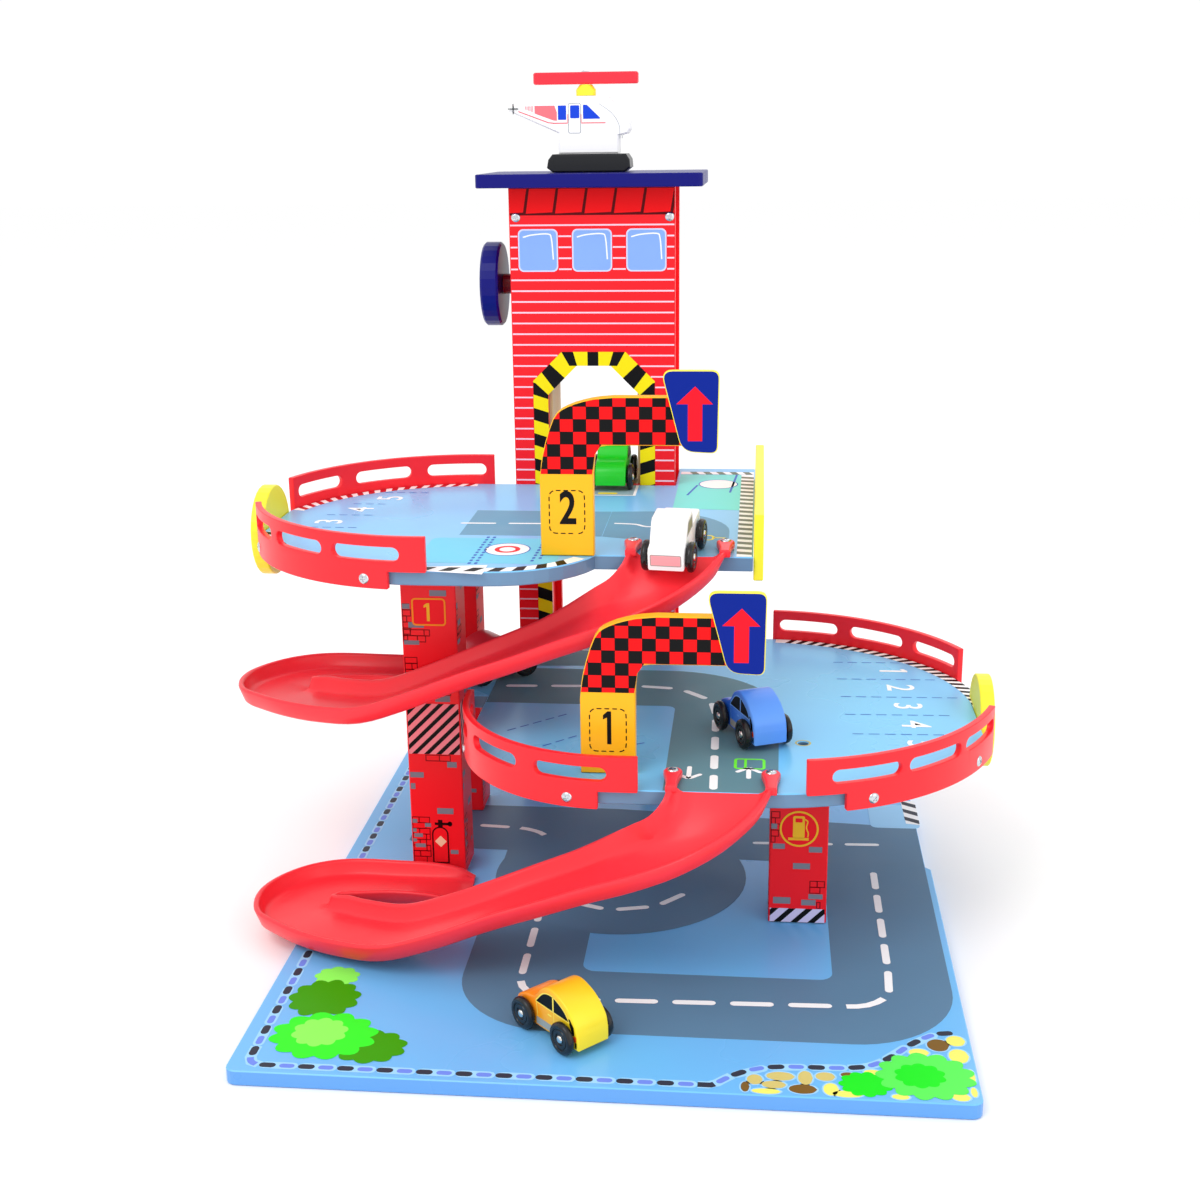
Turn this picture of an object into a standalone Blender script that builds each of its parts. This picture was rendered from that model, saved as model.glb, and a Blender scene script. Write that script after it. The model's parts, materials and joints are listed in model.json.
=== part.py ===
# Wooden toy garage with two parking decks, a hand-cranked lift tower, two curling ramps,
# a helipad with its helicopter, two turning arrow signs and five toy cars.
# Metres, +Z up. The origin is the centre of the base board's underside, and the open
# front of the garage faces -Y. Plan places are taken from the tower's front face.

import math

import bmesh
import bpy
from mathutils import Matrix, Vector

# Boards and levels
BOARD_T = 0.009            # base, decks, signs and end discs
BASE_W = 0.400
BASE_D = 0.480
BASE_CORNER_R = 0.006
BASE_STEP_X = 0.0035       # the right edge steps in by this behind the shoulder
BASE_STEP_Y = 0.273        # shoulder, from the front edge
LEVEL_H = 0.116            # from one driving surface to the next
EDGE_CHAMFER = 0.0006
SOFT_EDGE = 0.0009         # rounder edges of the toys
GAP = 0.0003               # between pieces that rest on or against each other

# Tower
TOWER_X = -0.039
TOWER_W = 0.117
TOWER_D = 0.062
TOWER_TOP = 0.4523
TOWER_BACK_MARGIN = 0.003  # from the back edge of the base
PANEL_T = 0.006
SIDE_T = 0.009
SHAFT_BAY_W = 0.076        # clear width between the side walls
ARCH_W = 0.0665
ARCH_H = 0.087
ARCH_CHAMFER = 0.021
HELIPAD_T = 0.0092
HELIPAD_W = 0.157
HELIPAD_D = 0.104
HELIPAD_CORNER_R = 0.003

# Crank and lift
CRANK_Z = 0.3836
CRANK_WHEEL_R = 0.030
CRANK_WHEEL_T = 0.013
CRANK_HUB_R = 0.00725
CRANK_HUB_L = 0.0208
SHAFT_R = 0.004
SHAFT_BORE_GAP = 0.0003
SPOOL_R = 0.005
SPOOL_FLANGE_R = 0.008
SPOOL_FLANGE_T = 0.001
LIFT_GAP = 0.001           # cabin to tower, each side
LIFT_FLOOR_T = 0.006
CHEEK_T = 0.006
CHEEK_H = 0.075
CORD_R = 0.00075

# Decks
DECK1_DEPTH = 0.293        # tower front to the front edge
DECK1_LEFT_X = -0.099
DECK1_CORNER_R = 0.096
DECK1_LOBE_X = 0.085
DECK1_FLAT_CUT = 0.00935   # cut off the lobe's tip for the end disc
DECK2_DEPTH = 0.2467
DECK2_LOBE_X = -0.121
DECK2_FLAT_CUT = 0.0032
DECK2_SHOULDER_X = -0.080
DECK2_SHOULDER_R = 0.066
DECK2_BAY_DEPTH = 0.2045
DECK2_RIGHT_X = 0.0775
PEG_R = 0.003
PEG_HOLE_R = 0.0033
SPARE_PEG_X = 0.110
SPARE_PEG_DEPTH = 0.212    # from the tower front

# Rails, end discs and the side wall
RAIL_T = 0.004
RAIL_RISE = 0.0215         # above the deck top
RAIL_DROP = 0.0108         # below the deck top
TONGUE_L = 0.023           # end stretch without the lower lip
SLOT_H = 0.0086
SLOT_SILL = 0.0064         # from the deck top to the slot
SLOT_L = 0.043
RAIL_STEP = 0.013          # longest straight stretch of a bent strip
RAIL1_START_X = 0.0245     # front right rail's inner end, right of the lobe's centre
RAIL1_FRONT_STOP = 19.0    # degrees from the lobe's tip to the rail's end
RAIL1_BACK_STOP = 25.0
RAIL1_BACK_START = 3.0     # degrees from the tower to the rail's end
RAIL1_LEFT_RUN = 0.011     # straight stretch before the round corner
RAIL1_FRONT_RUN = 0.017    # straight stretch after it
RAIL2_STOP = 17.0
RAIL2_RUN = 0.0075
DISC_R = 0.030
DISC_DROP = 0.006          # disc centre below the deck top
SIDE_WALL_T = 0.006
SIDE_WALL_RISE = 0.0257
SIDE_WALL_DROP = 0.0154
SIDE_WALL_L = 0.227
SIDE_WALL_SETBACK = 0.0025

# Columns
COLUMN_W = 0.036
COLUMN_D = 0.0305
FRONT_RIGHT_COLUMN = (0.1085, 0.210)   # x, depth from the tower front
REAR_LEFT_COLUMN = (-0.136, 0.052)

# Ramps
RAMP_LOWER_X = 0.0615      # centre of the mouth
RAMP_UPPER_X = 0.0321
MOUTH_W = 0.057            # between the wall tops
RAMP_FLOOR_T = 0.003
RAMP_WALL_H = 0.010        # wall top above the floor
MOUTH_WALL_H = 0.005
RAMP_WALL_T = 0.003
RAMP_BEAD = 0.0019         # half width of the rolled wall top
RAMP_LEAN = 0.0035         # how far the walls lean out
RAMP_SHEET_END = 0.0014    # floor thickness at the exit
LOOP_R = 0.054
LOOP_X = -0.2415           # loop centre from the mouth centre
LOOP_Y = 0.058
CURL_R = 0.006
CROOK_X = -0.1621          # column's place between the lanes, from the mouth centre
CROOK_Y = 0.0478
EXIT_X = -0.1655
EXIT_INNER_Y = 0.068
EXIT_OUTER_Y = 0.111
EXIT_REST = 0.006          # how far the exit lies on the deck's wing
WING_MARGIN = 0.004
WING_BACK = 0.018          # wing behind the exit's outer wall
RAMP_STEPS = 2             # sections between the listed ones
EAR_R = 0.0056
EAR_L = 0.0195             # deck edge to the screw
EAR_HALF = 0.0035

# Signs
SIGN_FOOT_W = 0.0323
SIGN_FROM_MOUTH = 0.083    # ramp mouth centre to the foot's left edge
SIGN1_SETBACK = 0.028      # behind deck 1's front edge
SIGN2_SETBACK = 0.0437     # behind deck 2's front edge
ARM_TOP = 0.097
ARM_UNDER = 0.068
ARM_END = 0.086
ARROW_T = 0.005
PEG_L = 0.015

# Helicopter
PAD_CENTRE_D = 0.031       # tower front to the helipad's centre
HELI_X = -0.045            # rotor axis
SKID_L = 0.059
SKID_W = 0.030
SKID_H = 0.0122
SKID_OFFSET = 0.0025       # skid's middle in front of the rotor axis
HELI_BODY_T = 0.020
HELI_BODY_H = 0.0388
HELI_BODY_L = 0.0855
MAST_R = 0.007
MAST_H = 0.0075
ROTOR_L = 0.074
ROTOR_W = 0.010
ROTOR_T = 0.008

# Cars
CAR_L = 0.056
CAR_H = 0.0318             # roof over the ground
CAR_W = 0.022
CAR_CLEARANCE = 0.0045
WHEEL_R = 0.0093
WHEEL_T = 0.0045
WHEEL_GAP = 0.0004
WHEELBASE = 0.035
AXLE_R = 0.0014
AXLE_BORE_R = 0.0018
YELLOW_CAR = (-0.0235, 0.0520)   # x, from the base's front edge
BLUE_CAR = (0.0785, 0.0910)      # x, from deck 1's front edge
RED_CAR = (-0.1010, 0.1065)      # x, from the bay's front edge
GREEN_CAR = (0.0135, 0.0025)     # from the tower's front centre
WHITE_CAR = (-0.002, 0.0060)     # from the upper ramp's mouth centre
WHITE_HEADING = -98.0
WHITE_PITCH = 10.0         # nose down: rear wheels on the deck, front wheels on the ramp

# Worked out from the values above
BASE_TOP = BOARD_T
DECK1_TOP = BASE_TOP + LEVEL_H
DECK2_TOP = DECK1_TOP + LEVEL_H
FRONT_Y = -BASE_D / 2
TOWER_BACK_Y = BASE_D / 2 - TOWER_BACK_MARGIN
TOWER_FRONT_Y = TOWER_BACK_Y - TOWER_D
TOWER_MID_Y = (TOWER_FRONT_Y + TOWER_BACK_Y) / 2
DECK_BACK_Y = TOWER_FRONT_Y - GAP
DECK1_FRONT_Y = TOWER_FRONT_Y - DECK1_DEPTH
DECK2_FRONT_Y = TOWER_FRONT_Y - DECK2_DEPTH
BAY_FRONT_Y = TOWER_FRONT_Y - DECK2_BAY_DEPTH
DECK1_LOBE_R = (DECK_BACK_Y - DECK1_FRONT_Y) / 2
DECK2_LOBE_R = (DECK_BACK_Y - DECK2_FRONT_Y) / 2
DECK1_FLAT_X = DECK1_LOBE_X + DECK1_LOBE_R - DECK1_FLAT_CUT
DECK2_FLAT_X = DECK2_LOBE_X - DECK2_LOBE_R + DECK2_FLAT_CUT
SIDE_INNER_L = TOWER_X - SHAFT_BAY_W / 2
SIDE_INNER_R = TOWER_X + SHAFT_BAY_W / 2
CHEEK_L_X = SIDE_INNER_L + LIFT_GAP + CHEEK_T / 2
CHEEK_R_X = SIDE_INNER_R - LIFT_GAP - CHEEK_T / 2
SIGN_FROM_AXIS = SIGN_FROM_MOUTH - SIGN_FOOT_W / 2
SIGN1_AXIS = (RAMP_LOWER_X - SIGN_FROM_AXIS, DECK1_FRONT_Y + SIGN1_SETBACK)
SIGN2_AXIS = (RAMP_UPPER_X - SIGN_FROM_AXIS, DECK2_FRONT_Y + SIGN2_SETBACK)

# The cars' and the helicopter's side outlines are drawn in plain units and fitted to their sizes
CAR_DRAWN = (55.2, 31.8)
HELI_DRAWN = 85.5

MAIN = "toy_garage"
CUTTERS = "cutters"


def start_scene():
    """Empty the file and make the two collections."""
    for obj in list(bpy.data.objects):
        bpy.data.objects.remove(obj, do_unlink=True)
    for name in (MAIN, CUTTERS):
        collection = bpy.data.collections.new(name)
        bpy.context.scene.collection.children.link(collection)


def material(name, colour, roughness=0.4, metallic=0.0):
    """Principled material, made once for each name."""
    found = bpy.data.materials.get(name)
    if found:
        return found
    made = bpy.data.materials.new(name)
    made.use_nodes = True
    shader = made.node_tree.nodes["Principled BSDF"]
    shader.inputs["Base Color"].default_value = (*colour, 1.0)
    shader.inputs["Roughness"].default_value = roughness
    shader.inputs["Metallic"].default_value = metallic
    return made


def paint(kind):
    """The garage's paints and plastics."""
    paints = {
        "sky_board": ((0.22, 0.50, 0.86), 0.35),
        "red_board": ((0.80, 0.03, 0.05), 0.35),
        "red_plastic": ((0.86, 0.05, 0.06), 0.30),
        "navy": ((0.01, 0.01, 0.12), 0.30),
        "yellow_board": ((0.90, 0.80, 0.04), 0.35),
        "sign_yellow": ((0.95, 0.55, 0.03), 0.35),
        "sign_blue": ((0.0, 0.05, 0.50), 0.30),
        "lift_wood": ((0.80, 0.72, 0.55), 0.50),
        "cord": ((0.75, 0.72, 0.65), 0.80),
        "dark_plastic": ((0.02, 0.02, 0.02), 0.35),
        "white_paint": ((0.88, 0.88, 0.88), 0.35),
        "orange_paint": ((0.90, 0.42, 0.02), 0.30),
        "blue_paint": ((0.03, 0.22, 0.80), 0.30),
        "green_paint": ((0.03, 0.65, 0.05), 0.30),
    }
    colour, roughness = paints[kind]
    return material(kind, colour, roughness)


def add(name, mesh, kind, parent=None):
    """Put a mesh in the garage's collection as one sub-part."""
    obj = bpy.data.objects.new(name, mesh)
    bpy.data.collections[MAIN].objects.link(obj)
    obj.data.materials.clear()
    obj.data.materials.append(paint(kind))
    if parent:
        obj.parent = parent
    return obj


def pivot(name, place, parent=None, rotation=(0, 0, 0)):
    """Empty on a joint's axis that carries the pieces which move together."""
    empty = bpy.data.objects.new(name, None)
    empty.empty_display_size = 0.01
    bpy.data.collections[MAIN].objects.link(empty)
    empty.location = place
    empty.rotation_euler = rotation
    if parent:
        empty.parent = parent
    return empty


def smooth(mesh, degrees=35):
    mesh.shade_smooth()
    mesh.set_sharp_from_angle(angle=math.radians(degrees))


def mesh_from(bm, name):
    bmesh.ops.recalc_face_normals(bm, faces=bm.faces)
    mesh = bpy.data.meshes.new(name)
    bm.to_mesh(mesh)
    bm.free()
    return mesh


def box_mesh(name, size, bevel=0.0):
    """Box about its centre, with its edges chamfered if bevel is set."""
    bm = bmesh.new()
    bmesh.ops.create_cube(bm, size=1.0)
    bmesh.ops.scale(bm, vec=size, verts=bm.verts)
    if bevel:
        bmesh.ops.bevel(bm, geom=bm.edges[:], offset=bevel, segments=1, affect="EDGES")
    return mesh_from(bm, name)


def box(name, low, high, kind, parent=None, bevel=0.0):
    """Box between two corners, in its parent's frame."""
    low, high = Vector(low), Vector(high)
    obj = add(name, box_mesh(name, high - low, bevel), kind, parent)
    obj.location = (low + high) / 2
    return obj


def rod_mesh(name, radius, length, axis="Z", segments=24):
    """Cylinder about its centre along one axis."""
    bm = bmesh.new()
    turn = {
        "X": Matrix.Rotation(math.pi / 2, 3, "Y"),
        "Y": Matrix.Rotation(math.pi / 2, 3, "X"),
        "Z": Matrix.Identity(3),
    }[axis]
    bmesh.ops.create_cone(bm, cap_ends=True, segments=segments, radius1=radius, radius2=radius,
                          depth=length, matrix=turn.to_4x4())
    mesh = mesh_from(bm, name)
    smooth(mesh)
    return mesh


def turned(name, profile, axis, kind, parent=None, segments=24):
    """Body of revolution: profile rows are (place along the axis, radius), ends at radius 0."""
    bm = bmesh.new()
    verts = [bm.verts.new((radius, 0, along)) for along, radius in reversed(profile)]
    for a, b in zip(verts, verts[1:]):
        bm.edges.new((a, b))
    mesh = bpy.data.meshes.new(name)
    bm.to_mesh(mesh)
    bm.free()
    source = bpy.data.objects.new(name + "_profile", mesh)
    bpy.context.scene.collection.objects.link(source)
    screw = source.modifiers.new("turn", "SCREW")
    screw.axis = "Z"
    screw.steps = segments
    screw.render_steps = segments
    screw.use_merge_vertices = True
    screw.merge_threshold = 0.00001
    screw.use_normal_calculate = True
    solid = read_mesh(source, name)
    turn = {"X": Matrix.Rotation(math.pi / 2, 4, "Y"), "Y": Matrix.Rotation(-math.pi / 2, 4, "X"),
            "Z": Matrix.Identity(4)}[axis]
    solid.transform(turn)
    smooth(solid)
    return add(name, solid, kind, parent)


def read_mesh(source, name):
    """Mesh of an object as the viewport evaluates it, welded; the source is removed."""
    bpy.context.view_layer.update()
    depsgraph = bpy.context.evaluated_depsgraph_get()
    mesh = bpy.data.meshes.new_from_object(source.evaluated_get(depsgraph))
    mesh.name = name
    bm = bmesh.new()
    bm.from_mesh(mesh)
    bmesh.ops.remove_doubles(bm, verts=bm.verts, dist=0.00002)
    bmesh.ops.recalc_face_normals(bm, faces=bm.faces)
    bm.to_mesh(mesh)
    bm.free()
    data = source.data
    bpy.data.objects.remove(source, do_unlink=True)
    if isinstance(data, bpy.types.Curve):
        bpy.data.curves.remove(data)
    return mesh


def outline_mesh(name, outlines, thickness, chamfer=0.0):
    """Flat board from closed outlines in local XY, the first outside and the rest its holes."""
    curve = bpy.data.curves.new(name, "CURVE")
    curve.dimensions = "2D"
    curve.fill_mode = "BOTH"
    curve.extrude = thickness / 2 - chamfer
    curve.bevel_depth = chamfer
    curve.bevel_resolution = 0
    curve.offset = -chamfer
    for points in outlines:
        spline = curve.splines.new("POLY")
        spline.points.add(len(points) - 1)
        for point, (x, y) in zip(spline.points, points):
            point.co = (x, y, 0, 1)
        spline.use_cyclic_u = True
    source = bpy.data.objects.new(name + "_outline", curve)
    bpy.context.scene.collection.objects.link(source)
    mesh = read_mesh(source, name)
    smooth(mesh)
    return mesh


def arc(cx, cy, radius, start, end, steps):
    """Points on an arc, degrees anticlockwise from +X."""
    points = []
    for i in range(steps + 1):
        angle = math.radians(start + (end - start) * i / steps)
        points.append((cx + radius * math.cos(angle), cy + radius * math.sin(angle)))
    return points


def circle(cx, cy, radius, steps=16):
    return arc(cx, cy, radius, 0, 360, steps)[:-1]


def rounded_box(x0, y0, x1, y1, radius, steps=3):
    """Rectangle with round corners, anticlockwise."""
    return (arc(x1 - radius, y0 + radius, radius, -90, 0, steps)
            + arc(x1 - radius, y1 - radius, radius, 0, 90, steps)
            + arc(x0 + radius, y1 - radius, radius, 90, 180, steps)
            + arc(x0 + radius, y0 + radius, radius, 180, 270, steps))


def catmull(points, steps):
    """Smooth open line through points of any dimension."""
    rows = [Vector(p) for p in points]
    rows = [2 * rows[0] - rows[1]] + rows + [2 * rows[-1] - rows[-2]]
    line = []
    for a, b, c, d in zip(rows, rows[1:], rows[2:], rows[3:]):
        for i in range(steps):
            t = i / steps
            line.append(0.5 * ((2 * b) + (c - a) * t + (2 * a - 5 * b + 4 * c - d) * t ** 2
                               + (3 * b - a - 3 * c + d) * t ** 3))
    line.append(rows[-2])
    return line


def cutter(name, mesh, place, rotation=(0, 0, 0)):
    obj = bpy.data.objects.new(name, mesh)
    bpy.data.collections[CUTTERS].objects.link(obj)
    obj.location = place
    obj.rotation_euler = rotation
    obj.hide_render = True
    obj.display_type = "WIRE"
    return obj


def combine(target, other, operation):
    modifier = target.modifiers.new(other.name, "BOOLEAN")
    modifier.operation = operation
    modifier.solver = "EXACT"
    modifier.object = other


def board(name, outlines, top, kind, chamfer=EDGE_CHAMFER, thickness=BOARD_T):
    """Level board whose upper face is at height top."""
    obj = add(name, outline_mesh(name, outlines, thickness, chamfer), kind)
    obj.location = (0, 0, top - thickness / 2)
    return obj


def build_base():
    """Base board with round corners and a small shoulder in its right edge."""
    right = BASE_W / 2
    back = BASE_D / 2
    shoulder = FRONT_Y + BASE_STEP_Y
    r = BASE_CORNER_R
    outline = (arc(right - r, FRONT_Y + r, r, -90, 0, 4)
               + [(right, shoulder), (right - BASE_STEP_X, shoulder + BASE_STEP_X)]
               + arc(right - BASE_STEP_X - r, back - r, r, 0, 90, 4)
               + arc(-right + r, back - r, r, 90, 180, 4)
               + arc(-right + r, FRONT_Y + r, r, 180, 270, 4))
    board("base_board", [outline], BASE_TOP, "sky_board")


def peg_hole(x, y):
    return circle(x, y, PEG_HOLE_R, 12)


def flat_angle(lobe_x, flat_x, radius):
    """Half angle of the flat that is cut across a lobe's tip."""
    return math.degrees(math.acos(abs(flat_x - lobe_x) / radius))


def build_deck_1():
    """Lower deck: round lobe on the right, round front left corner, and a wing at the left
    that receives the upper ramp."""
    r = DECK1_LOBE_R
    mid = DECK1_FRONT_Y + r
    half = flat_angle(DECK1_LOBE_X, DECK1_FLAT_X, r)
    wing_x = RAMP_UPPER_X + EXIT_X - EXIT_REST
    wing_front, wing_back = exit_span(BAY_FRONT_Y)
    corner = DECK1_CORNER_R
    outline = (arc(DECK1_LOBE_X, mid, r, -90, -half, 14)
               + arc(DECK1_LOBE_X, mid, r, half, 90, 14)
               + [(DECK1_LEFT_X, DECK_BACK_Y), (DECK1_LEFT_X, wing_back + WING_MARGIN),
                  (wing_x, wing_back + WING_MARGIN), (wing_x, wing_front),
                  (DECK1_LEFT_X, wing_front)]
               + arc(DECK1_LEFT_X + corner, DECK1_FRONT_Y + corner, corner, 180, 270, 14))
    holes = [peg_hole(*SIGN1_AXIS), peg_hole(SPARE_PEG_X, TOWER_FRONT_Y - SPARE_PEG_DEPTH)]
    board("deck_1", [outline] + holes, DECK1_TOP, "sky_board")


def build_deck_2():
    """Upper deck: round lobe on the left and a straight bay that runs past the tower."""
    r = DECK2_LOBE_R
    mid = DECK2_FRONT_Y + r
    half = flat_angle(DECK2_LOBE_X, DECK2_FLAT_X, r)
    rise = DECK2_SHOULDER_R - (BAY_FRONT_Y - DECK2_FRONT_Y)
    turn = math.degrees(math.asin(rise / DECK2_SHOULDER_R))
    tower_right = TOWER_X + TOWER_W / 2 + GAP
    back = TOWER_BACK_Y
    outline = (arc(DECK2_SHOULDER_X, DECK2_FRONT_Y + DECK2_SHOULDER_R, DECK2_SHOULDER_R,
                   -90, -turn, 8)
               + [(DECK2_RIGHT_X, BAY_FRONT_Y), (DECK2_RIGHT_X, back), (tower_right, back),
                  (tower_right, DECK_BACK_Y)]
               + arc(DECK2_LOBE_X, mid, r, 90, 180 - half, 14)
               + arc(DECK2_LOBE_X, mid, r, 180 + half, 270, 14))
    board("deck_2", [outline, peg_hole(*SIGN2_AXIS)], DECK2_TOP, "sky_board")


def arch(floor_z):
    """Lift doorway with its upper corners cut off, drawn in the panel's X and Z."""
    left, right = TOWER_X - ARCH_W / 2, TOWER_X + ARCH_W / 2
    top = floor_z + ARCH_H
    return [(left, floor_z), (right, floor_z), (right, top - ARCH_CHAMFER),
            (right - ARCH_CHAMFER, top), (left + ARCH_CHAMFER, top), (left, top - ARCH_CHAMFER)]


def upright(name, outlines, y, thickness, kind, chamfer=0.0):
    """Vertical board across the garage: outlines in X and Z, y is its middle."""
    obj = add(name, outline_mesh(name, outlines, thickness, chamfer), kind)
    obj.location = (0, y, 0)
    obj.rotation_euler = (math.pi / 2, 0, 0)
    return obj


def build_tower():
    """Two arched panels, two side walls with the crank bearing, and the helipad."""
    left, right = TOWER_X - TOWER_W / 2, TOWER_X + TOWER_W / 2
    foot = BASE_TOP + GAP
    door = arch(foot)
    outer = ([(left, foot), door[0], door[5], door[4], door[3], door[2], door[1], (right, foot),
              (right, TOWER_TOP), (left, TOWER_TOP)])
    doors = [arch(DECK1_TOP), arch(DECK2_TOP)]
    upright("tower_front_panel", [outer] + doors, TOWER_FRONT_Y + PANEL_T / 2, PANEL_T, "red_board")
    upright("tower_back_panel", [outer] + doors, TOWER_BACK_Y - PANEL_T / 2, PANEL_T, "red_board")
    y0 = TOWER_FRONT_Y + PANEL_T + GAP
    y1 = TOWER_BACK_Y - PANEL_T - GAP
    bore = circle(0, 0, SHAFT_R + SHAFT_BORE_GAP, 24)
    low, high = foot - CRANK_Z, TOWER_TOP - CRANK_Z
    wall = [(y0 - TOWER_MID_Y, low), (y1 - TOWER_MID_Y, low), (y1 - TOWER_MID_Y, high),
            (y0 - TOWER_MID_Y, high)]
    for name, x in (("tower_side_left", SIDE_INNER_L - SIDE_T / 2),
                    ("tower_side_right", SIDE_INNER_R + SIDE_T / 2)):
        side = add(name, outline_mesh(name, [wall, bore], SIDE_T), "red_board")
        side.location = (x, TOWER_MID_Y, CRANK_Z)
        side.rotation_euler = (math.pi / 2, 0, math.pi / 2)
    pad_y = TOWER_FRONT_Y + PAD_CENTRE_D
    pad = rounded_box(TOWER_X - HELIPAD_W / 2, pad_y - HELIPAD_D / 2,
                      TOWER_X + HELIPAD_W / 2, pad_y + HELIPAD_D / 2, HELIPAD_CORNER_R)
    board("helipad", [pad], TOWER_TOP + GAP + HELIPAD_T, "navy", EDGE_CHAMFER, HELIPAD_T)


def spool(middle):
    """Two flanges and a core on the crank shaft, centred above a cheek."""
    half = CHEEK_T / 2
    return [(middle - half, SHAFT_R), (middle - half, SPOOL_FLANGE_R),
            (middle - half + SPOOL_FLANGE_T, SPOOL_FLANGE_R), (middle - half + SPOOL_FLANGE_T, SPOOL_R),
            (middle + half - SPOOL_FLANGE_T, SPOOL_R), (middle + half - SPOOL_FLANGE_T, SPOOL_FLANGE_R),
            (middle + half, SPOOL_FLANGE_R), (middle + half, SHAFT_R)]


def build_crank():
    """Hand wheel, hub and shaft with the two spools; all turn on the shaft's axis."""
    axis = pivot("crank_axis", (TOWER_X, TOWER_MID_Y, CRANK_Z))
    hub_right = SIDE_INNER_L - SIDE_T - GAP - TOWER_X
    hub_left = hub_right - CRANK_HUB_L
    wheel_right = hub_left - GAP
    wheel_left = wheel_right - CRANK_WHEEL_T
    bore = SHAFT_R + SHAFT_BORE_GAP
    blind = wheel_left + CRANK_WHEEL_T / 2
    round_edge = 0.0015
    turned("crank_wheel", [(wheel_left, 0), (wheel_left, CRANK_WHEEL_R - round_edge),
                           (wheel_left + round_edge, CRANK_WHEEL_R),
                           (wheel_right - round_edge, CRANK_WHEEL_R),
                           (wheel_right, CRANK_WHEEL_R - round_edge),
                           (wheel_right, bore), (blind, bore), (blind, 0)],
           "X", "navy", axis, 32)
    hub = add("crank_hub", outline_mesh("crank_hub", [circle(0, 0, CRANK_HUB_R, 24),
                                                      circle(0, 0, bore, 24)], CRANK_HUB_L),
              "red_board", axis)
    hub.location = ((hub_left + hub_right) / 2, 0, 0)
    hub.rotation_euler = (math.pi / 2, 0, math.pi / 2)
    shaft_left = blind + GAP
    shaft_right = SIDE_INNER_R + SIDE_T / 2 - TOWER_X
    turned("crank_shaft", [(shaft_left, 0), (shaft_left, SHAFT_R)]
           + spool(CHEEK_L_X - TOWER_X) + spool(CHEEK_R_X - TOWER_X)
           + [(shaft_right, SHAFT_R), (shaft_right, 0)], "X", "lift_wood", axis, 12)


def build_lift():
    """Cabin: a floor between two cheeks, hung on two cords from the spools."""
    floor_bottom = DECK2_TOP - LIFT_FLOOR_T
    carrier = pivot("lift_axis", (TOWER_X, TOWER_MID_Y, floor_bottom))
    half_d = TOWER_D / 2 - PANEL_T - LIFT_GAP
    left = CHEEK_L_X - TOWER_X
    right = CHEEK_R_X - TOWER_X
    height = LIFT_FLOOR_T + CHEEK_H
    box("lift_floor", (left + CHEEK_T / 2 + GAP, -half_d, 0),
        (right - CHEEK_T / 2 - GAP, half_d, LIFT_FLOOR_T), "lift_wood", carrier)
    for name, x in (("lift_cheek_left", left), ("lift_cheek_right", right)):
        box(name, (x - CHEEK_T / 2, -half_d, 0), (x + CHEEK_T / 2, half_d, height),
            "lift_wood", carrier, EDGE_CHAMFER)
    cord_y = TOWER_MID_Y - SPOOL_R - CORD_R - GAP
    low = floor_bottom + height + GAP
    for name, x in (("lift_cord_left", CHEEK_L_X), ("lift_cord_right", CHEEK_R_X)):
        cord = add(name, rod_mesh(name, CORD_R, CRANK_Z - low, "Z", 8), "cord")
        cord.location = (x, cord_y, (CRANK_Z + low) / 2)


class EdgePath:
    """Deck edge as straight and round stretches, read by the length along it.
    The outward side is on the right of the way it runs."""

    def __init__(self, x, y, heading):
        self.pieces = []
        self.end = (x, y, math.radians(heading))
        self.length = 0.0

    def straight(self, length):
        x, y, heading = self.end
        self.pieces.append((self.length, length, x, y, heading, 0.0))
        self.end = (x + length * math.cos(heading), y + length * math.sin(heading), heading)
        self.length += length
        return self

    def turn(self, radius, degrees):
        """Round stretch; degrees are positive to the left."""
        x, y, heading = self.end
        angle = math.radians(degrees)
        bend = math.copysign(1 / radius, degrees)
        length = abs(angle) * radius
        self.pieces.append((self.length, length, x, y, heading, bend))
        cx, cy = x - math.sin(heading) / bend, y + math.cos(heading) / bend
        self.end = (cx + math.sin(heading + angle) / bend, cy - math.cos(heading + angle) / bend,
                    heading + angle)
        self.length += length
        return self

    def place(self, s, out):
        """Plan point at length s, moved outward by out."""
        start, length, x, y, heading, bend = self.pieces[0]
        for piece in self.pieces:
            if s >= piece[0] - 1e-9:
                start, length, x, y, heading, bend = piece
        run = s - start
        if bend:
            cx, cy = x - math.sin(heading) / bend, y + math.cos(heading) / bend
            angle = heading + run * bend
            px, py = cx + math.sin(angle) / bend, cy - math.cos(angle) / bend
        else:
            angle = heading
            px, py = x + run * math.cos(heading), y + run * math.sin(heading)
        return px + out * math.sin(angle), py - out * math.cos(angle)


def slot(middle):
    """Rounded slot in the unrolled strip."""
    r = SLOT_H / 2
    y = SLOT_SILL + r
    return (arc(middle + SLOT_L / 2 - r, y, r, -90, 90, 3)
            + arc(middle - SLOT_L / 2 + r, y, r, 90, 270, 3))


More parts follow.
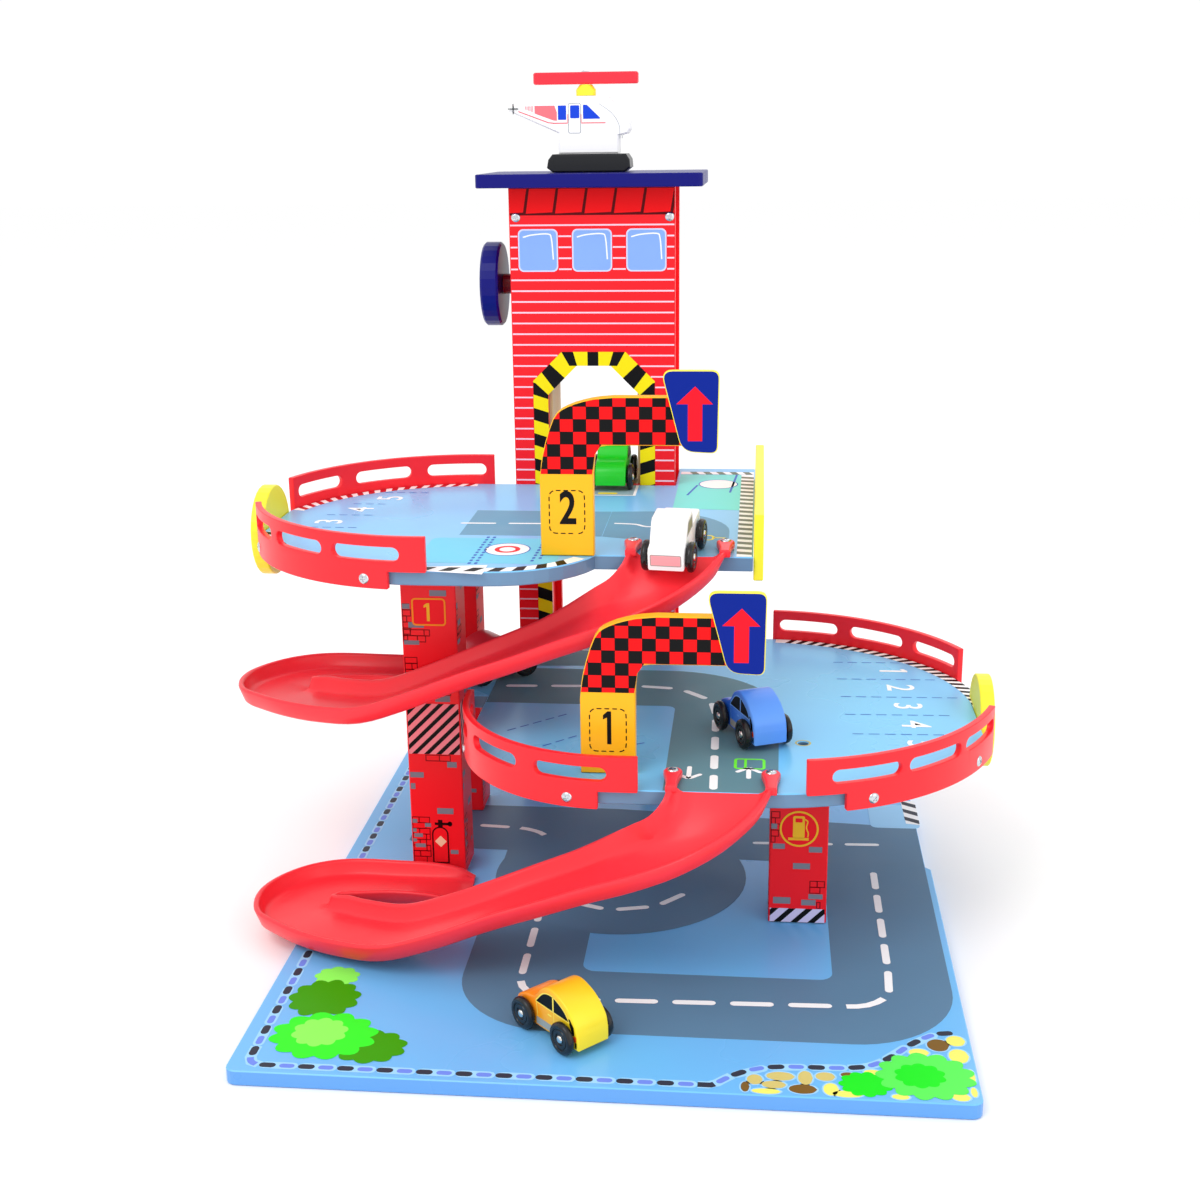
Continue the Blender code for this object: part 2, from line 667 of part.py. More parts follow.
def rail(name, path, deck_top, slots, tongue=None):
    """Thin strip, cut flat with its slots and bent round the deck's edge."""
    length = path.length
    low = -RAIL_DROP
    outline = [(0, low), (length, low), (length, RAIL_RISE), (0, RAIL_RISE)]
    if tongue == "start":
        outline = [(0, 0), (TONGUE_L, 0), (TONGUE_L, low), (length, low), (length, RAIL_RISE),
                   (0, RAIL_RISE)]
    if tongue == "end":
        outline = [(0, low), (length - TONGUE_L, low), (length - TONGUE_L, 0), (length, 0),
                   (length, RAIL_RISE), (0, RAIL_RISE)]
    mesh = outline_mesh(name, [outline] + [slot(s) for s in slots], RAIL_T)
    bm = bmesh.new()
    bm.from_mesh(mesh)
    bends = max(2, round(length / RAIL_STEP))
    for i in range(1, bends):
        geometry = bm.verts[:] + bm.edges[:] + bm.faces[:]
        bmesh.ops.bisect_plane(bm, geom=geometry, dist=0.000001,
                               plane_co=(length * i / bends, 0, 0), plane_no=(1, 0, 0))
    for vert in bm.verts:
        s, z, t = vert.co
        x, y = path.place(s, GAP + t + RAIL_T / 2)
        vert.co = (x, y, z)
    bmesh.ops.recalc_face_normals(bm, faces=bm.faces)
    bm.to_mesh(mesh)
    bm.free()
    mesh.update()
    smooth(mesh, 40)
    obj = add(name, mesh, "red_plastic")
    obj.location = (0, 0, deck_top)
    return obj


def build_rails():
    """Five rails, one along each stretch of deck edge between the ramps and the discs."""
    r1 = DECK1_LOBE_R
    mid1 = DECK1_FRONT_Y + r1
    r2 = DECK2_LOBE_R
    start = math.degrees(math.asin(RAIL1_START_X / r1))
    path = EdgePath(DECK1_LOBE_X + r1 * math.sin(math.radians(start)),
                    mid1 - r1 * math.cos(math.radians(start)), start)
    path.turn(r1, 90 - RAIL1_FRONT_STOP - start)
    rail("deck_1_rail_front_right", path, DECK1_TOP, spread(path, 3, TONGUE_L), "start")
    stop = math.radians(RAIL1_BACK_STOP)
    path = EdgePath(DECK1_LOBE_X + r1 * math.cos(stop), mid1 + r1 * math.sin(stop),
                    90 + RAIL1_BACK_STOP)
    path.turn(r1, 90 - RAIL1_BACK_STOP - RAIL1_BACK_START)
    rail("deck_1_rail_back_right", path, DECK1_TOP, spread(path, 3, 0))
    corner = DECK1_CORNER_R
    path = EdgePath(DECK1_LEFT_X, DECK1_FRONT_Y + corner + RAIL1_LEFT_RUN, -90)
    path.straight(RAIL1_LEFT_RUN).turn(corner, 90).straight(RAIL1_FRONT_RUN)
    rail("deck_1_rail_front_left", path, DECK1_TOP, spread(path, 3, 0, TONGUE_L), "end")
    stop = math.radians(RAIL2_STOP)
    path = EdgePath(DECK2_LOBE_X - r2 * math.cos(stop), DECK2_FRONT_Y + r2 - r2 * math.sin(stop),
                    -90 + RAIL2_STOP)
    path.turn(r2, 90 - RAIL2_STOP).straight(RAIL2_RUN)
    rail("deck_2_rail_front_left", path, DECK2_TOP, spread(path, 3, 0, TONGUE_L), "end")
    path = EdgePath(DECK2_LOBE_X + RAIL2_RUN, DECK_BACK_Y, 180)
    path.straight(RAIL2_RUN).turn(r2, 90 - RAIL2_STOP)
    rail("deck_2_rail_back_left", path, DECK2_TOP, spread(path, 3, 0))


def spread(path, count, skip_start, skip_end=0.0):
    """Middles of the slots, evenly spaced over the rail."""
    room = path.length - skip_start * 0.5 - skip_end * 0.5
    pitch = room / count
    return [skip_start * 0.5 + pitch * (i + 0.5) for i in range(count)]


def build_deck_trim():
    """Yellow end discs on the flats of the lobes, and the bay's side wall."""
    mid1 = DECK1_FRONT_Y + DECK1_LOBE_R
    mid2 = DECK2_FRONT_Y + DECK2_LOBE_R
    for name, x, y, top in (("end_disc_right", DECK1_FLAT_X + GAP + BOARD_T / 2, mid1, DECK1_TOP),
                            ("end_disc_left", DECK2_FLAT_X - GAP - BOARD_T / 2, mid2, DECK2_TOP)):
        disc = add(name, outline_mesh(name, [circle(0, 0, DISC_R, 32)], BOARD_T, EDGE_CHAMFER),
                   "yellow_board")
        disc.location = (x, y, top - DISC_DROP)
        disc.rotation_euler = (math.pi / 2, 0, math.pi / 2)
    y0 = BAY_FRONT_Y + SIDE_WALL_SETBACK
    x0 = DECK2_RIGHT_X + GAP
    box("deck_2_side_wall", (x0, y0, DECK2_TOP - SIDE_WALL_DROP),
        (x0 + SIDE_WALL_T, y0 + SIDE_WALL_L, DECK2_TOP + SIDE_WALL_RISE), "yellow_board",
        bevel=EDGE_CHAMFER)


def exit_span(mouth_y):
    """Front and back of a ramp's exit, in plan."""
    front = mouth_y + EXIT_INNER_Y - RAMP_BEAD
    back = mouth_y + EXIT_OUTER_Y + RAMP_BEAD + WING_BACK
    return front, back


def ramp_stations():
    """Sections of the ramp from the mouth to the exit, measured from the mouth's centre:
    outer wall top x, y, inner wall top x, y, share of the fall, half bank, wall height and
    floor thickness."""
    half = MOUTH_W / 2
    mouth = [(half, 0, -half, 0, 0.0, 0.0, MOUTH_WALL_H, RAMP_FLOOR_T)]
    lane = [
        (0.0245, -0.010, -0.0315, -0.009, 0.085, 0.0020),
        (0.0155, -0.021, -0.0390, -0.011, 0.155, 0.0030),
        (0.0005, -0.033, -0.0490, -0.006, 0.225, 0.0028),
        (-0.0215, -0.0405, -0.0590, 0.001, 0.305, 0.0018),
        (-0.0465, -0.0390, -0.0710, 0.008, 0.395, 0.0008),
        (-0.0735, -0.0330, -0.0875, 0.014, 0.492, 0.0004),
        (-0.1015, -0.0280, -0.1110, 0.0175, 0.595, 0.0),
        (-0.1335, -0.0260, -0.1385, 0.0180, 0.700, 0.0),
        (-0.1665, -0.0230, -0.1670, 0.0240, 0.820, 0.0),
        (-0.1990, -0.0100, -0.1950, 0.0330, 0.930, 0.0),
    ]
    rows = mouth + [row + (RAMP_WALL_H, RAMP_FLOOR_T) for row in lane]
    for degrees in range(-70, -271, -25):
        c, s = math.cos(math.radians(degrees)), math.sin(math.radians(degrees))
        fall = min(1.0, 0.955 + 0.0225 * (-70 - degrees) / 25)
        rows.append((LOOP_X + LOOP_R * c, LOOP_Y + LOOP_R * s,
                     LOOP_X + CURL_R * c, LOOP_Y + CURL_R * s, fall, 0.0, RAMP_WALL_H, RAMP_FLOOR_T))
    run = EXIT_X - LOOP_X
    for share, height, sheet in ((0.35, 1.0, 1.0), (0.62, 0.95, 1.0), (0.84, 0.7, 0.8)):
        rows.append((LOOP_X + run * share, EXIT_OUTER_Y, LOOP_X + run * share, EXIT_INNER_Y,
                     1.0, 0.0, RAMP_WALL_H * height, RAMP_FLOOR_T * sheet))
    rows.append((EXIT_X, EXIT_OUTER_Y + 0.001, EXIT_X, EXIT_INNER_Y, 1.0, 0.0,
                 RAMP_WALL_H * 0.2, RAMP_SHEET_END))
    return rows


def ramp_section(row, deck_top):
    """One U section: leaning walls with rolled tops over a thin floor."""
    ox, oy, ix, iy, fall, bank, height, sheet = row
    outer, inner = Vector((ox, oy, 0)), Vector((ix, iy, 0))
    middle = (outer + inner) / 2
    across = (outer - inner).normalized()
    w = (outer - inner).length / 2
    bottom_end = deck_top - LEVEL_H + GAP
    bottom_start = deck_top - RAMP_FLOOR_T
    bottom = bottom_start + (bottom_end - bottom_start) * fall
    floor_w = w - RAMP_LEAN
    half = [(0.0, sheet), (floor_w - RAMP_WALL_T, sheet), (floor_w - RAMP_WALL_T * 0.4, sheet + 0.001),
            (w - RAMP_BEAD * 0.8, sheet + height - RAMP_BEAD), (w - RAMP_BEAD * 0.6, sheet + height - 0.0004),
            (w + RAMP_BEAD * 0.6, sheet + height - 0.0004), (w + RAMP_BEAD, sheet + height - RAMP_BEAD),
            (floor_w + RAMP_WALL_T * 0.4, 0.001), (floor_w - RAMP_WALL_T * 0.4, 0.0), (0.0, 0.0)]
    points = []
    for side in (1, -1):
        rows = half[:-1] if side == 1 else list(reversed(half))[:-1]
        for s, z in rows:
            lift = bank * side * min(1.0, s / w)
            points.append(middle + across * (s * side) + Vector((0, 0, bottom + z + lift)))
    return points


def build_ramp(name, mouth_x, mouth_y, deck_top):
    """Moulded channel that drops from a deck, curls round and comes back under itself."""
    rows = catmull(ramp_stations(), RAMP_STEPS)
    bm = bmesh.new()
    rings = [[bm.verts.new(p) for p in ramp_section(tuple(row), deck_top)] for row in rows]
    count = len(rings[0])
    for a, b in zip(rings, rings[1:]):
        for i in range(count):
            j = (i + 1) % count
            bm.faces.new((a[i], a[j], b[j], b[i]))
    bm.faces.new(rings[0])
    bm.faces.new(list(reversed(rings[-1])))
    mesh = mesh_from(bm, name)
    smooth(mesh, 50)
    ramp = add(name, mesh, "red_plastic")
    ramp.location = (mouth_x, mouth_y - GAP, 0)
    for side in (-1, 1):
        ear_outline = (arc(0, EAR_L, EAR_R, 0, 180, 8)
                       + [(-EAR_HALF, EAR_L * 0.5), (-EAR_HALF, -0.002),
                          (EAR_HALF, -0.002), (EAR_HALF, EAR_L * 0.5)])
        ear = cutter(name + "_ear_%d" % side, outline_mesh("ear", [ear_outline], MOUTH_WALL_H),
                     (mouth_x + side * MOUTH_W / 2, mouth_y, deck_top + GAP + MOUTH_WALL_H / 2))
        combine(ramp, ear, "UNION")
    return ramp


def build_columns():
    """Three square posts: one in the crook of the ramps, one at the rear, one under deck 1."""
    posts = (
        ("column_front_left", RAMP_UPPER_X + CROOK_X, BAY_FRONT_Y + CROOK_Y, DECK2_TOP),
        ("column_rear_left", REAR_LEFT_COLUMN[0], TOWER_FRONT_Y - REAR_LEFT_COLUMN[1], DECK2_TOP),
        ("column_front_right", FRONT_RIGHT_COLUMN[0], TOWER_FRONT_Y - FRONT_RIGHT_COLUMN[1],
         DECK1_TOP),
    )
    for name, x, y, deck_top in posts:
        box(name, (x - COLUMN_W / 2, y - COLUMN_D / 2, BASE_TOP + GAP),
            (x + COLUMN_W / 2, y + COLUMN_D / 2, deck_top - BOARD_T - GAP), "red_board", bevel=EDGE_CHAMFER)


def sign_outline():
    """Post that bends over into an arm, X from the foot's left edge and Z from the deck."""
    bend = catmull([(0.0, 0.046), (0.0020, 0.0620), (0.0087, 0.0836), (0.0170, 0.0910),
                    (0.0317, 0.0955), (0.0450, ARM_TOP)], 3)
    inner = catmull([(0.0450, ARM_UNDER), (0.0370, 0.0672), (0.0336, 0.0630),
                     (SIGN_FOOT_W, 0.050)], 2)
    right = [(ARM_END, ARM_TOP), (ARM_END, ARM_UNDER)]
    points = [(0.0, 0.0)] + [tuple(p) for p in bend] + right + [tuple(p) for p in inner]
    points.append((SIGN_FOOT_W, 0.0))
    return [(x - SIGN_FOOT_W / 2, z) for x, z in reversed(points)]


def arrow_outline():
    """Shield-shaped plate on the end of the arm."""
    corners = [(0.0820, 0.0715), (0.0845, 0.0685), (0.1020, 0.0644), (0.1048, 0.0666), (0.1060, 0.1035),
               (0.1040, 0.1066), (0.0908, 0.1103), (0.0745, 0.1072), (0.0719, 0.1040)]
    return [(x - SIGN_FOOT_W / 2, z) for x, z in corners]


def build_sign(number, axis_xy, deck_top):
    """Arrow sign that turns on its peg in the deck."""
    axis = pivot("sign_%d_axis" % number, (axis_xy[0], axis_xy[1], deck_top))
    name = "sign_%d_board" % number
    sign = add(name, outline_mesh(name, [sign_outline()], BOARD_T, EDGE_CHAMFER), "sign_yellow", axis)
    sign.location = (0, 0, GAP)
    sign.rotation_euler = (math.pi / 2, 0, 0)
    peg_top = PEG_L - BOARD_T
    hole = cutter(name + "_bore", rod_mesh("bore", PEG_R + GAP, 2 * (peg_top + GAP), "Z", 12),
                  (axis_xy[0], axis_xy[1], deck_top + GAP))
    combine(sign, hole, "DIFFERENCE")
    name = "sign_%d_arrow_plate" % number
    plate = add(name, outline_mesh(name, [arrow_outline()], ARROW_T, EDGE_CHAMFER), "sign_blue", axis)
    plate.location = (0, -BOARD_T / 2 - GAP - ARROW_T / 2, GAP)
    plate.rotation_euler = (math.pi / 2, 0, 0)
    name = "sign_%d_peg" % number
    peg = add(name, rod_mesh(name, PEG_R, PEG_L, "Z", 12), "lift_wood", axis)
    peg.location = (0, 0, peg_top - PEG_L / 2)


def build_helicopter():
    """Loose helicopter on the pad; its rotor turns on the mast."""
    ground = TOWER_TOP + GAP + HELIPAD_T + GAP
    y = TOWER_FRONT_Y + PAD_CENTRE_D
    stand = pivot("helicopter_axis", (HELI_X, y, ground))
    skid = [(-SKID_L / 2 + 0.004, 0), (SKID_L / 2 - 0.004, 0), (SKID_L / 2, 0.003),
            (SKID_L / 2 - 0.0005, 0.0085), (SKID_L / 2 - 0.003, SKID_H),
            (-SKID_L / 2 + 0.004, SKID_H), (-SKID_L / 2 + 0.001, 0.0085), (-SKID_L / 2, 0.003)]
    runner = add("helicopter_skid", outline_mesh("helicopter_skid", [skid], SKID_W, SOFT_EDGE),
                 "dark_plastic", stand)
    runner.location = (SKID_OFFSET, 0, 0)
    runner.rotation_euler = (math.pi / 2, 0, 0)
    low = SKID_H + GAP
    top = low + HELI_BODY_H
    from_foot = ((-19.0, 14.0), (-19.0, 0), (23.5, 0), (23.5, 12.0), (30.0, 13.5), (31.5, 16.5),
                 (31.2, 21.5))
    from_roof = ((16.0, -0.6), (13.5, 0), (-18.5, 0), (-50.0, -5.2), (-52.5, -4.0), (-54.0, -9.5))
    unit = HELI_BODY_L / HELI_DRAWN
    side = [(x * unit, low + z * unit) for x, z in from_foot]
    side += [(x * unit, top + z * unit) for x, z in from_roof]
    body = add("helicopter_body", outline_mesh("helicopter_body", [side], HELI_BODY_T, SOFT_EDGE),
               "white_paint", stand)
    body.rotation_euler = (math.pi / 2, 0, 0)
    mast_low = top + GAP
    turned("helicopter_mast", [(mast_low, 0), (mast_low, MAST_R), (mast_low + MAST_H * 0.55, MAST_R),
                               (mast_low + MAST_H, MAST_R * 0.62), (mast_low + MAST_H, 0)],
           "Z", "yellow_board", stand, 24)
    hub = pivot("rotor_axis", (0, 0, mast_low + MAST_H + GAP), stand)
    blades = rounded_box(-ROTOR_L / 2, -ROTOR_W / 2, ROTOR_L / 2, ROTOR_W / 2, ROTOR_W * 0.3)
    rotor = add("helicopter_rotor", outline_mesh("helicopter_rotor", [blades], ROTOR_T, SOFT_EDGE),
                "red_plastic", hub)
    rotor.location = (0, 0, ROTOR_T / 2)


def saloon_profile():
    """Round-backed car, tail to nose."""
    return catmull([(-27.2, 12.0), (-25.0, 19.5), (-17.0, 27.5), (-5.0, 31.8), (3.5, 29.5),
                    (10.5, 22.2), (19.0, 20.0), (25.2, 16.5), (27.6, 11.0)], 2)


def pickup_profile():
    """Short cab at +X and a flat load bed behind it."""
    return [(-27.5, 20.5), (-27.0, 21.5), (-5.0, 21.5), (-4.0, 30.0), (-2.5, 31.5), (11.0, 31.5),
            (13.5, 30.0), (20.5, 19.0), (26.0, 17.8), (27.6, 15.0)]


def car_outline(profile):
    across = CAR_L / CAR_DRAWN[0]
    upward = CAR_H / CAR_DRAWN[1]
    top = [(x * across, z * upward) for x, z in profile()]
    return [(top[-1][0], CAR_CLEARANCE), (top[0][0], CAR_CLEARANCE)] + top


def wheel_profile(middle, outward):
    """Tyre with round shoulders and a dished hub, listed from the inner side."""
    half = WHEEL_T / 2
    rows = [(-half, AXLE_R), (-half, WHEEL_R * 0.80), (-half * 0.45, WHEEL_R), (half * 0.45, WHEEL_R),
            (half, WHEEL_R * 0.80), (half * 0.60, WHEEL_R * 0.36), (half + 0.0005, 0)]
    placed = [(middle + outward * along, radius) for along, radius in rows]
    return placed if outward > 0 else list(reversed(placed))


def build_car(colour, profile, kind, place, heading, pitch=0.0):
    """Wooden car block on two free wheelsets; place is the point under its middle."""
    chassis = pivot("car_%s_axis" % colour, place, None,
                    (0, math.radians(pitch), math.radians(heading)))
    name = "car_%s_body" % colour
    outline = car_outline(profile)
    body = add(name, outline_mesh(name, [outline], CAR_W, SOFT_EDGE), kind, chassis)
    body.rotation_euler = (math.pi / 2, 0, 0)
    lift = GAP
    body.location = (0, 0, lift)
    for end, offset in (("front", WHEELBASE / 2), ("rear", -WHEELBASE / 2)):
        bore = cutter("%s_%s_bore" % (name, end),
                      rod_mesh("axle_bore", AXLE_BORE_R, CAR_W * 2, "Y", 12), (0, 0, 0))
        bore.parent = chassis
        bore.location = (offset, 0, WHEEL_R + lift)
        combine(body, bore, "DIFFERENCE")
        axle = pivot("car_%s_%s_axle" % (colour, end), (offset, 0, WHEEL_R + lift), chassis)
        outward = CAR_W / 2 + WHEEL_GAP + WHEEL_T / 2
        profile_rows = wheel_profile(-outward, -1) + wheel_profile(outward, 1)
        turned("car_%s_%s_wheels" % (colour, end), profile_rows, "Y", "dark_plastic", axle, 14)


def build_cars():
    """Five cars where the garage is played with: base, decks, lift door and ramp mouth."""
    on_base = BASE_TOP
    slope = math.radians(WHITE_PITCH)
    drop = WHEELBASE / 2 * math.sin(slope) - WHEEL_R * (1 - math.cos(slope))
    build_car("yellow", saloon_profile, "orange_paint",
              (YELLOW_CAR[0], FRONT_Y + YELLOW_CAR[1], on_base), 135.0)
    build_car("blue", saloon_profile, "blue_paint",
              (BLUE_CAR[0], DECK1_FRONT_Y + BLUE_CAR[1], DECK1_TOP), 114.5)
    build_car("red", saloon_profile, "red_board",
              (RED_CAR[0], BAY_FRONT_Y + RED_CAR[1], DECK1_TOP), 41.3)
    build_car("green", saloon_profile, "green_paint",
              (TOWER_X + GREEN_CAR[0], TOWER_FRONT_Y + GREEN_CAR[1], DECK2_TOP), -90.0)
    build_car("white", pickup_profile, "white_paint",
              (RAMP_UPPER_X + WHITE_CAR[0], BAY_FRONT_Y + WHITE_CAR[1], DECK2_TOP - drop),
              WHITE_HEADING, WHITE_PITCH)


def main():
    start_scene()
    build_base()
    build_deck_1()
    build_deck_2()
    build_tower()
    build_crank()
    build_lift()
    build_rails()
    build_deck_trim()
    build_ramp("ramp_lower", RAMP_LOWER_X, DECK1_FRONT_Y, DECK1_TOP)
    build_ramp("ramp_upper", RAMP_UPPER_X, BAY_FRONT_Y, DECK2_TOP)
    build_columns()
    build_sign(1, SIGN1_AXIS, DECK1_TOP)
    build_sign(2, SIGN2_AXIS, DECK2_TOP)
    build_helicopter()
    build_cars()


main()
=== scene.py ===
"""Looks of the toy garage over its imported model: paint, prints, ramps, rails, screws, wheels and light.
Metres, +Z up. Prints are drawn in millimetres in the plane of the board that carries them."""

import json
import math

import bmesh
import bpy
from mathutils import Matrix, Vector

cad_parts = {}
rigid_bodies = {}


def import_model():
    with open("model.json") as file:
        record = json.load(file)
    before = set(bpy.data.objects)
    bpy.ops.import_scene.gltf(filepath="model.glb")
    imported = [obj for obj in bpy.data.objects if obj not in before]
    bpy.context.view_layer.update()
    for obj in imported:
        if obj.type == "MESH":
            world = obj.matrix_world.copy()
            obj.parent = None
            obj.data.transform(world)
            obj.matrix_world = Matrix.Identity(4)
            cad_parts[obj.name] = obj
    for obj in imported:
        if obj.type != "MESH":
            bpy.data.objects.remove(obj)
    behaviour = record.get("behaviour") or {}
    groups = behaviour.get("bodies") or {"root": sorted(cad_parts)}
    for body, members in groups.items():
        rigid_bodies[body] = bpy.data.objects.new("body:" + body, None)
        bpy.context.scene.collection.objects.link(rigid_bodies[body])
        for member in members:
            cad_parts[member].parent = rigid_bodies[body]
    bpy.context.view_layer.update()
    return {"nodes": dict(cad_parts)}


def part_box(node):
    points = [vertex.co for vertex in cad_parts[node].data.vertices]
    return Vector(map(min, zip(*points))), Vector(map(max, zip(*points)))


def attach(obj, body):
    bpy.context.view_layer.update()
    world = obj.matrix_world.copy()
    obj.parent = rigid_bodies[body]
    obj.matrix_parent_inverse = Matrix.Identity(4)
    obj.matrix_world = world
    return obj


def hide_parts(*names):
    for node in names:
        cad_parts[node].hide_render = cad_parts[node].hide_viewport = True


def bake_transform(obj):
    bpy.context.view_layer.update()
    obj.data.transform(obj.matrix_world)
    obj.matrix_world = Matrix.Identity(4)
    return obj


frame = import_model()
NODES = frame["nodes"]

MM = 0.001
LAYER = 0.00005            # each print lies this far above the one below it

# Heights and places that the prints share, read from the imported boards
BASE_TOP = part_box("base_board")[1].z
DECK1_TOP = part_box("deck_1")[1].z
DECK2_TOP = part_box("deck_2")[1].z
TOWER_LOW, TOWER_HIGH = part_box("tower_front_panel")
TOWER_FRONT_Y = TOWER_LOW.y
TOWER_BACK_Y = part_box("tower_back_panel")[1].y
TOWER_X = (TOWER_LOW.x + TOWER_HIGH.x) / 2

# Plan of the decks in mm: lobes, corners and edges that the prints follow
LOBE1 = (85.0, 28.5, 146.5)
LOBE1_FLAT = 222.0
CORNER1 = (-3.0, -22.0, 96.0)
LOBE2 = (-121.0, 51.5, 123.2)
LOBE2_FLAT = -241.0
SHOULDER2 = (-80.0, -5.7, 66.0)
DECK2_FRONT = -71.7
BAY_FRONT = -29.5
PRINT_MARGIN = 0.8         # from a board's edge
MOUTH1 = (61.5, -118.0)     # middle of each ramp's mouth, at the deck's edge
MOUTH2 = (32.1, -29.5)
MOUTH_HALF = 28.5          # from there to an ear
EAR_SCREW = 19.5           # from the deck's edge to the ear's screw
SEAT_GAP = 0.3             # between pieces that rest on or against each other
DECK_RISE = 116
RAMP_SHEET = 3.0           # thickness of a ramp's floor
RAIL_HALF = 2.0            # half a rail's thickness
DOOR_FRAME_TOP = 97.5
CLAD_PITCH = 7.6
WINDOW_PITCH = 38.3
TILE_PITCH = 20.7
BORDER = 8.4               # width of the hazard border round a lobe
WHEEL_RADIUS = 9.6         # from the ground to the axle
AXLE_X = 17.5              # from a car's middle to its axles
CAR_LENGTH_HALF = 28.0
CORD_LAY = 0.00034         # m, from a cord's middle to a ply's
PLY_RADIUS = 0.0004        # m
CELL_X, CELL_Y = 7.88, 7.55    # pitch of a sign's checks


def linear(colour):
    """Linear colour of an 8-bit screen colour."""
    return tuple(((c / 255 + 0.055) / 1.055) ** 2.4 if c > 10 else c / 3294.6 for c in colour)


def link(tree, source, target):
    tree.links.new(source, target)


def noise(tree, where, scale, detail=3.0):
    made = tree.nodes.new("ShaderNodeTexNoise")
    made.inputs["Scale"].default_value = scale
    made.inputs["Detail"].default_value = detail
    link(tree, where, made.inputs["Vector"])
    return made.outputs["Fac"]


def mix_colour(tree, share, low, high):
    """Mix of two colours; each is a plain colour or another node's output."""
    made = tree.nodes.new("ShaderNodeMix")
    made.data_type = "RGBA"
    link(tree, share, made.inputs["Factor"])
    for socket, value in (("A", low), ("B", high)):
        target = [s for s in made.inputs if s.name == socket and s.type == "RGBA"][0]
        if isinstance(value, tuple):
            target.default_value = (*value, 1.0)
        else:
            link(tree, value, target)
    return [s for s in made.outputs if s.type == "RGBA"][0]


def map_range(tree, value, low, high, from_low=0.3, from_high=0.7):
    made = tree.nodes.new("ShaderNodeMapRange")
    link(tree, value, made.inputs["Value"])
    made.inputs["From Min"].default_value = from_low
    made.inputs["From Max"].default_value = from_high
    made.inputs["To Min"].default_value = low
    made.inputs["To Max"].default_value = high
    return made.outputs["Result"]


def surface(name, colour, roughness=0.4, drift=0.06, drift_scale=14.0, skin=0.05, skin_scale=900.0,
            coat=0.0, metallic=0.0, specular=0.35, stretch=(1.0, 1.0, 1.0), edge=None, tail=None,
            second=None):
    """Material whose colour and gloss drift a little and whose skin has a fine relief.
    edge is the colour of faces that don't look up, for boards printed on their top.
    tail is the colour that a car fades to behind."""
    made = bpy.data.materials.new(name)
    made.use_nodes = True
    tree = made.node_tree
    shader = tree.nodes["Principled BSDF"]
    shader.inputs["Metallic"].default_value = metallic
    shader.inputs["Coat Weight"].default_value = coat
    shader.inputs["Coat Roughness"].default_value = 0.12
    shader.inputs["Specular IOR Level"].default_value = specular
    coordinates = tree.nodes.new("ShaderNodeTexCoord")
    mapping = tree.nodes.new("ShaderNodeMapping")
    mapping.inputs["Scale"].default_value = stretch
    link(tree, coordinates.outputs["Object"], mapping.inputs["Vector"])
    where = mapping.outputs["Vector"]
    slow = noise(tree, where, drift_scale)

    def drifted(shade):
        base = linear(shade)
        return mix_colour(tree, slow, tuple(c * (1 - drift) for c in base),
                          tuple(min(1.0, c * (1 + drift)) for c in (linear(second) if second else base)))

    shade = drifted(colour)
    if edge:
        geometry = tree.nodes.new("ShaderNodeNewGeometry")
        split = tree.nodes.new("ShaderNodeSeparateXYZ")
        link(tree, geometry.outputs["Normal"], split.inputs["Vector"])
        upward = map_range(tree, split.outputs["Z"], 0.0, 1.0, 0.55, 0.6)
        shade = mix_colour(tree, upward, linear(edge), shade)
    if tail:
        split = tree.nodes.new("ShaderNodeSeparateXYZ")
        link(tree, where, split.inputs["Vector"])
        forward = map_range(tree, split.outputs["X"], 0.0, 1.0, -0.024, 0.012)
        shade = mix_colour(tree, forward, drifted(tail), shade)
    link(tree, shade, shader.inputs["Base Color"])
    fine = noise(tree, where, skin_scale, 2.0)
    link(tree, map_range(tree, slow, roughness * 0.85, min(1.0, roughness * 1.15)),
         shader.inputs["Roughness"])
    bump = tree.nodes.new("ShaderNodeBump")
    bump.inputs["Strength"].default_value = skin
    bump.inputs["Distance"].default_value = 0.0002
    link(tree, fine, bump.inputs["Height"])
    link(tree, bump.outputs["Normal"], shader.inputs["Normal"])
    return made


def board_paint(name, colour, edge=None, roughness=0.36, coat=0.03, specular=0.2, second=None):
    """Lacquered board: faint orange-peel and a thin clear coat."""
    return surface(name, colour, roughness, drift=0.04, drift_scale=9.0, skin=0.035,
                   skin_scale=420.0, coat=coat, specular=specular, edge=edge, second=second)


def moulded(name, colour, roughness=0.34):
    """Moulded plastic with a fine even grain."""
    return surface(name, colour, roughness, drift=0.05, drift_scale=22.0, skin=0.08,
                   skin_scale=1500.0, coat=0.04, specular=0.3)


